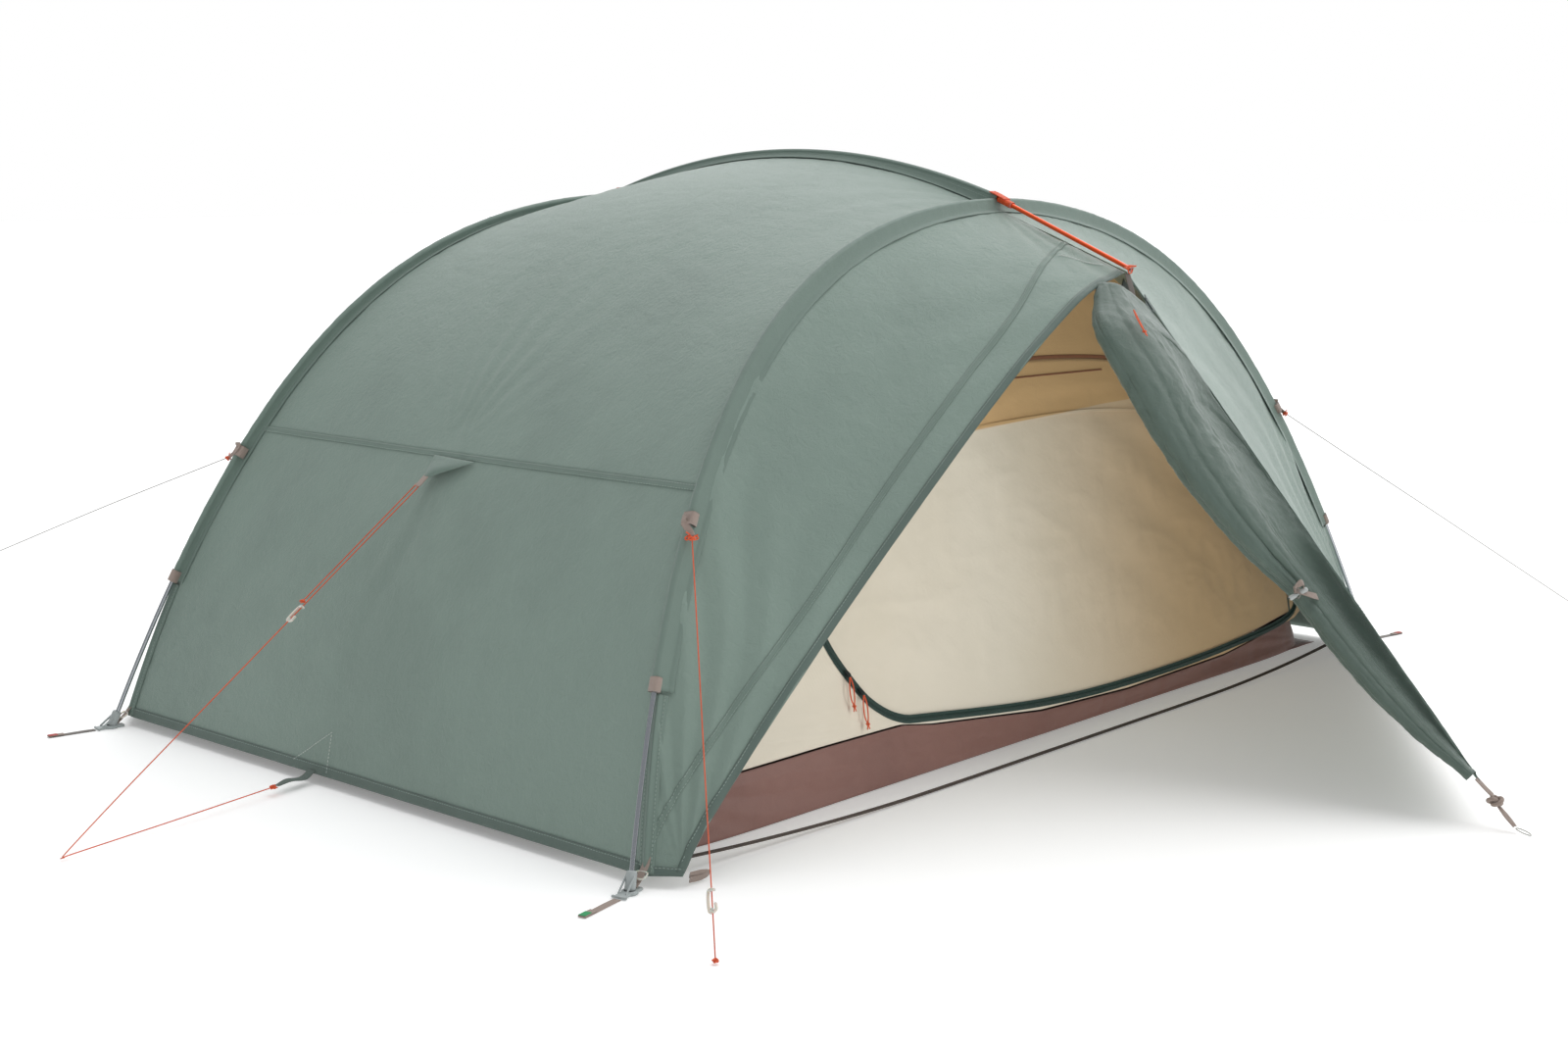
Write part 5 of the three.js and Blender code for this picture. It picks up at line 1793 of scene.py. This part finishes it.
# The end wall's tab: a triangle of the fly's cloth, pulled off the level seam.
left_end, right_end, tip = np.array([-0.9815, 0.071, 0.6215]), np.array(
    [-0.9845, -0.056, 0.6185]
), np.array([-1.030, 0.0535, 0.588])
tip_right = tip + [0, -0.012, 0]
share, down = np.meshgrid(np.linspace(0, 1, 26), np.linspace(0, 1, 18), indexing="ij")
seam_line = left_end + (right_end - left_end) * share[..., None] + np.array([-0.004, 0, 0.004])
tip_line = tip + (tip_right - tip) * share[..., None]
tab = seam_line + (tip_line - seam_line) * down[..., None]
tab[..., 0] -= 0.010 * np.sin(np.pi * share) * np.sin(np.pi * down)
tab_piece = cloth(
    "guy_tab_cloth", tab + crumple(tab, 0.0016, 0.03, 77)[..., None] * [1, 0, 0], SLEEVE_PAINTED_SHADE_CLOTH,
    "fly_cloth", 0.001
)
tape(
    "guy_tab_webbing",
    [(-1.012, 0.0475, 0.602), (-1.030, 0.0475, 0.588), (-1.044, 0.0475, 0.577), (-1.0495, 0.0475, 0.5725)],
    (-0.6, 0, 0.8), 0.016, TAUPE_WEBBING, "webbing"
)
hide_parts("guy_tab_end")
hem_tab = tape(
    "hem_tab_webbing",
    [(-1.262, 0.132, 0.026), (-1.285, 0.130, 0.015), (-1.322, 0.124, 0.020), (-1.356, 0.115, 0.018)],
    (0.1, 0, 1), 0.020, GREEN_WEBBING, "webbing",
    grow=np.r_[np.linspace(1, 1.25, 20), np.linspace(1.25, 0.55, 20)]
)
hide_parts("guy_tab_hem")
bow("hem_tab_bow", (-1.364, 0.1135, 0.0185), (-1, -0.1, 0), (0.1, 1, 0), 0.006)

# ---- At the ridge pole's ends ----
for face_name, face in FACES.items():
    ridge_way = unit(np.array([0, face * (TIP_Y - CREST_Y - 0.014), TIP_Z - RIDGE_Z + 0.0055]))
    start = np.array([0, face * (CREST_Y + 0.014), RIDGE_Z - 0.0055])
    cuff = carried(
        start + ridge_way * np.linspace(-0.004, 0.030, 8)[:, None], rounded(0.019, 0.0125, 0.005),
        (0, 0, 1), grow=np.r_[0.96, np.ones(6), 0.96]
    )
    make_piece(f"ridge_cuff_{face_name}", *skin(cuff), ORANGE_WEBBING, "webbing", uv=ring_map(cuff))
    tape(
        f"ridge_cuff_tab_{face_name}",
        [
            start + ridge_way * d + [0, 0, z]
            for d, z in ((-0.026, 0.0072), (-0.012, 0.0078), (0.004, 0.0074), (0.016, 0.0072))
        ],
        (0, 0, 1), 0.022, ORANGE_WEBBING, "webbing", 0.002
    )
    tip = np.array([0, face * (TIP_Y - 0.004), TIP_Z + 0.001])
    bow(
        f"ridge_tip_bow_{face_name}", tip + [0, 0, 0.003], (0, face, -0.2), (1, 0, 0.1), 0.0095,
        radius=0.0017
    )
    wire(
        f"ridge_tip_loop_{face_name}",
        [
            tip + [dx, 0, dz]
            for dx, dz in (
                (0.0075, 0), (0.0045, 0.0066), (-0.0045, 0.0066), (-0.0075, 0), (-0.0045, -0.0070),
                (0.0045, -0.0070)
            )
        ],
        0.0015, ORANGE_CORD, "cord", closed=True
    )
    hang = tip + [-0.004, -face * 0.004, -0.009]
    tape(
        f"hanging_strap_{face_name}",
        [
            hang, hang + [-0.006, face * 0.012, -0.022], hang + [-0.010, face * 0.022, -0.046],
            hang + [-0.012, face * 0.028, -0.066]
        ],
        (-0.5, face, 0.1), 0.012, GREY_WEBBING, "webbing"
    )
    tape(
        f"hanging_tag_{face_name}",
        [hang + [-0.0105, face * 0.0230, -0.045], hang + [-0.0120, face * 0.0282, -0.062]],
        (-0.5, face, 0.1), 0.0085, TAG_GREEN, "webbing", 0.0008, count=8
    )

# ---- Stage ----
floor = bpy.data.meshes.new("floor")
floor.from_pydata([(-40, -40, 0), (40, -40, 0), (40, 40, 0), (-40, 40, 0)], [], [(0, 1, 2, 3)])
floor_piece = bpy.data.objects.new("floor", floor)
scene.collection.objects.link(floor_piece)
FLOOR_PAINT = smooth_finish(
    "studio_floor_paint", "#f4f4f3", 0.9, 0.5, 0.0, {
        "Emission Color": linear("#ffffff"), "Emission Strength": 0.22
    }
)
floor.materials.append(FLOOR_PAINT)


def light(kind, name, place, target, energy, **settings):
    """A plain white light."""
    data = bpy.data.lights.new(name, kind)
    data.energy = energy
    for key, value in settings.items():
        setattr(data, key, value)
    made = aimed(bpy.data.objects.new(name, data), place, target)
    made.visible_camera = False
    return made


light("SUN", "soft_ceiling_panel", (3.2, 0.35, 4.4), (0, 0, 0.4), 2.9, angle=math.radians(100))
doorway_panel = light("AREA", "doorway_panel", (-0.2, -2.0, 0.6), (0.2, -0.62, 0.46), 7.9, size=0.5)
# Light that comes through the translucent fly in the real tent: it falls on the inner tent only.
lit = bpy.data.collections.new("lit_inner_tent")
for piece in scene.objects:
    if piece.name.startswith(("inner_", "groundsheet_", "mesh_")):
        lit.objects.link(piece)
doorway_panel.light_linking.receiver_collection = lit
doorway_panel.light_linking.blocker_collection = lit
world = bpy.data.worlds.new("studio")
scene.world = world
world.use_nodes = True
sky = world.node_tree
seen = add_node(sky, "ShaderNodeLightPath")
plain = add_node(sky, "ShaderNodeBackground", {"Color": linear("#ffffff"), "Strength": 1.0})
glow = sky.nodes["Background"]
glow.inputs["Color"].default_value = linear("#f6f8fb")
glow.inputs["Strength"].default_value = 0.47
split = add_node(
    sky, "ShaderNodeMixShader", {0: seen.outputs["Is Camera Ray"], 1: glow.outputs[0], 2: plain.outputs[0]}
)
sky.links.new(split.outputs[0], sky.nodes["World Output"].inputs["Surface"])
scene.view_settings.view_transform = "Standard"
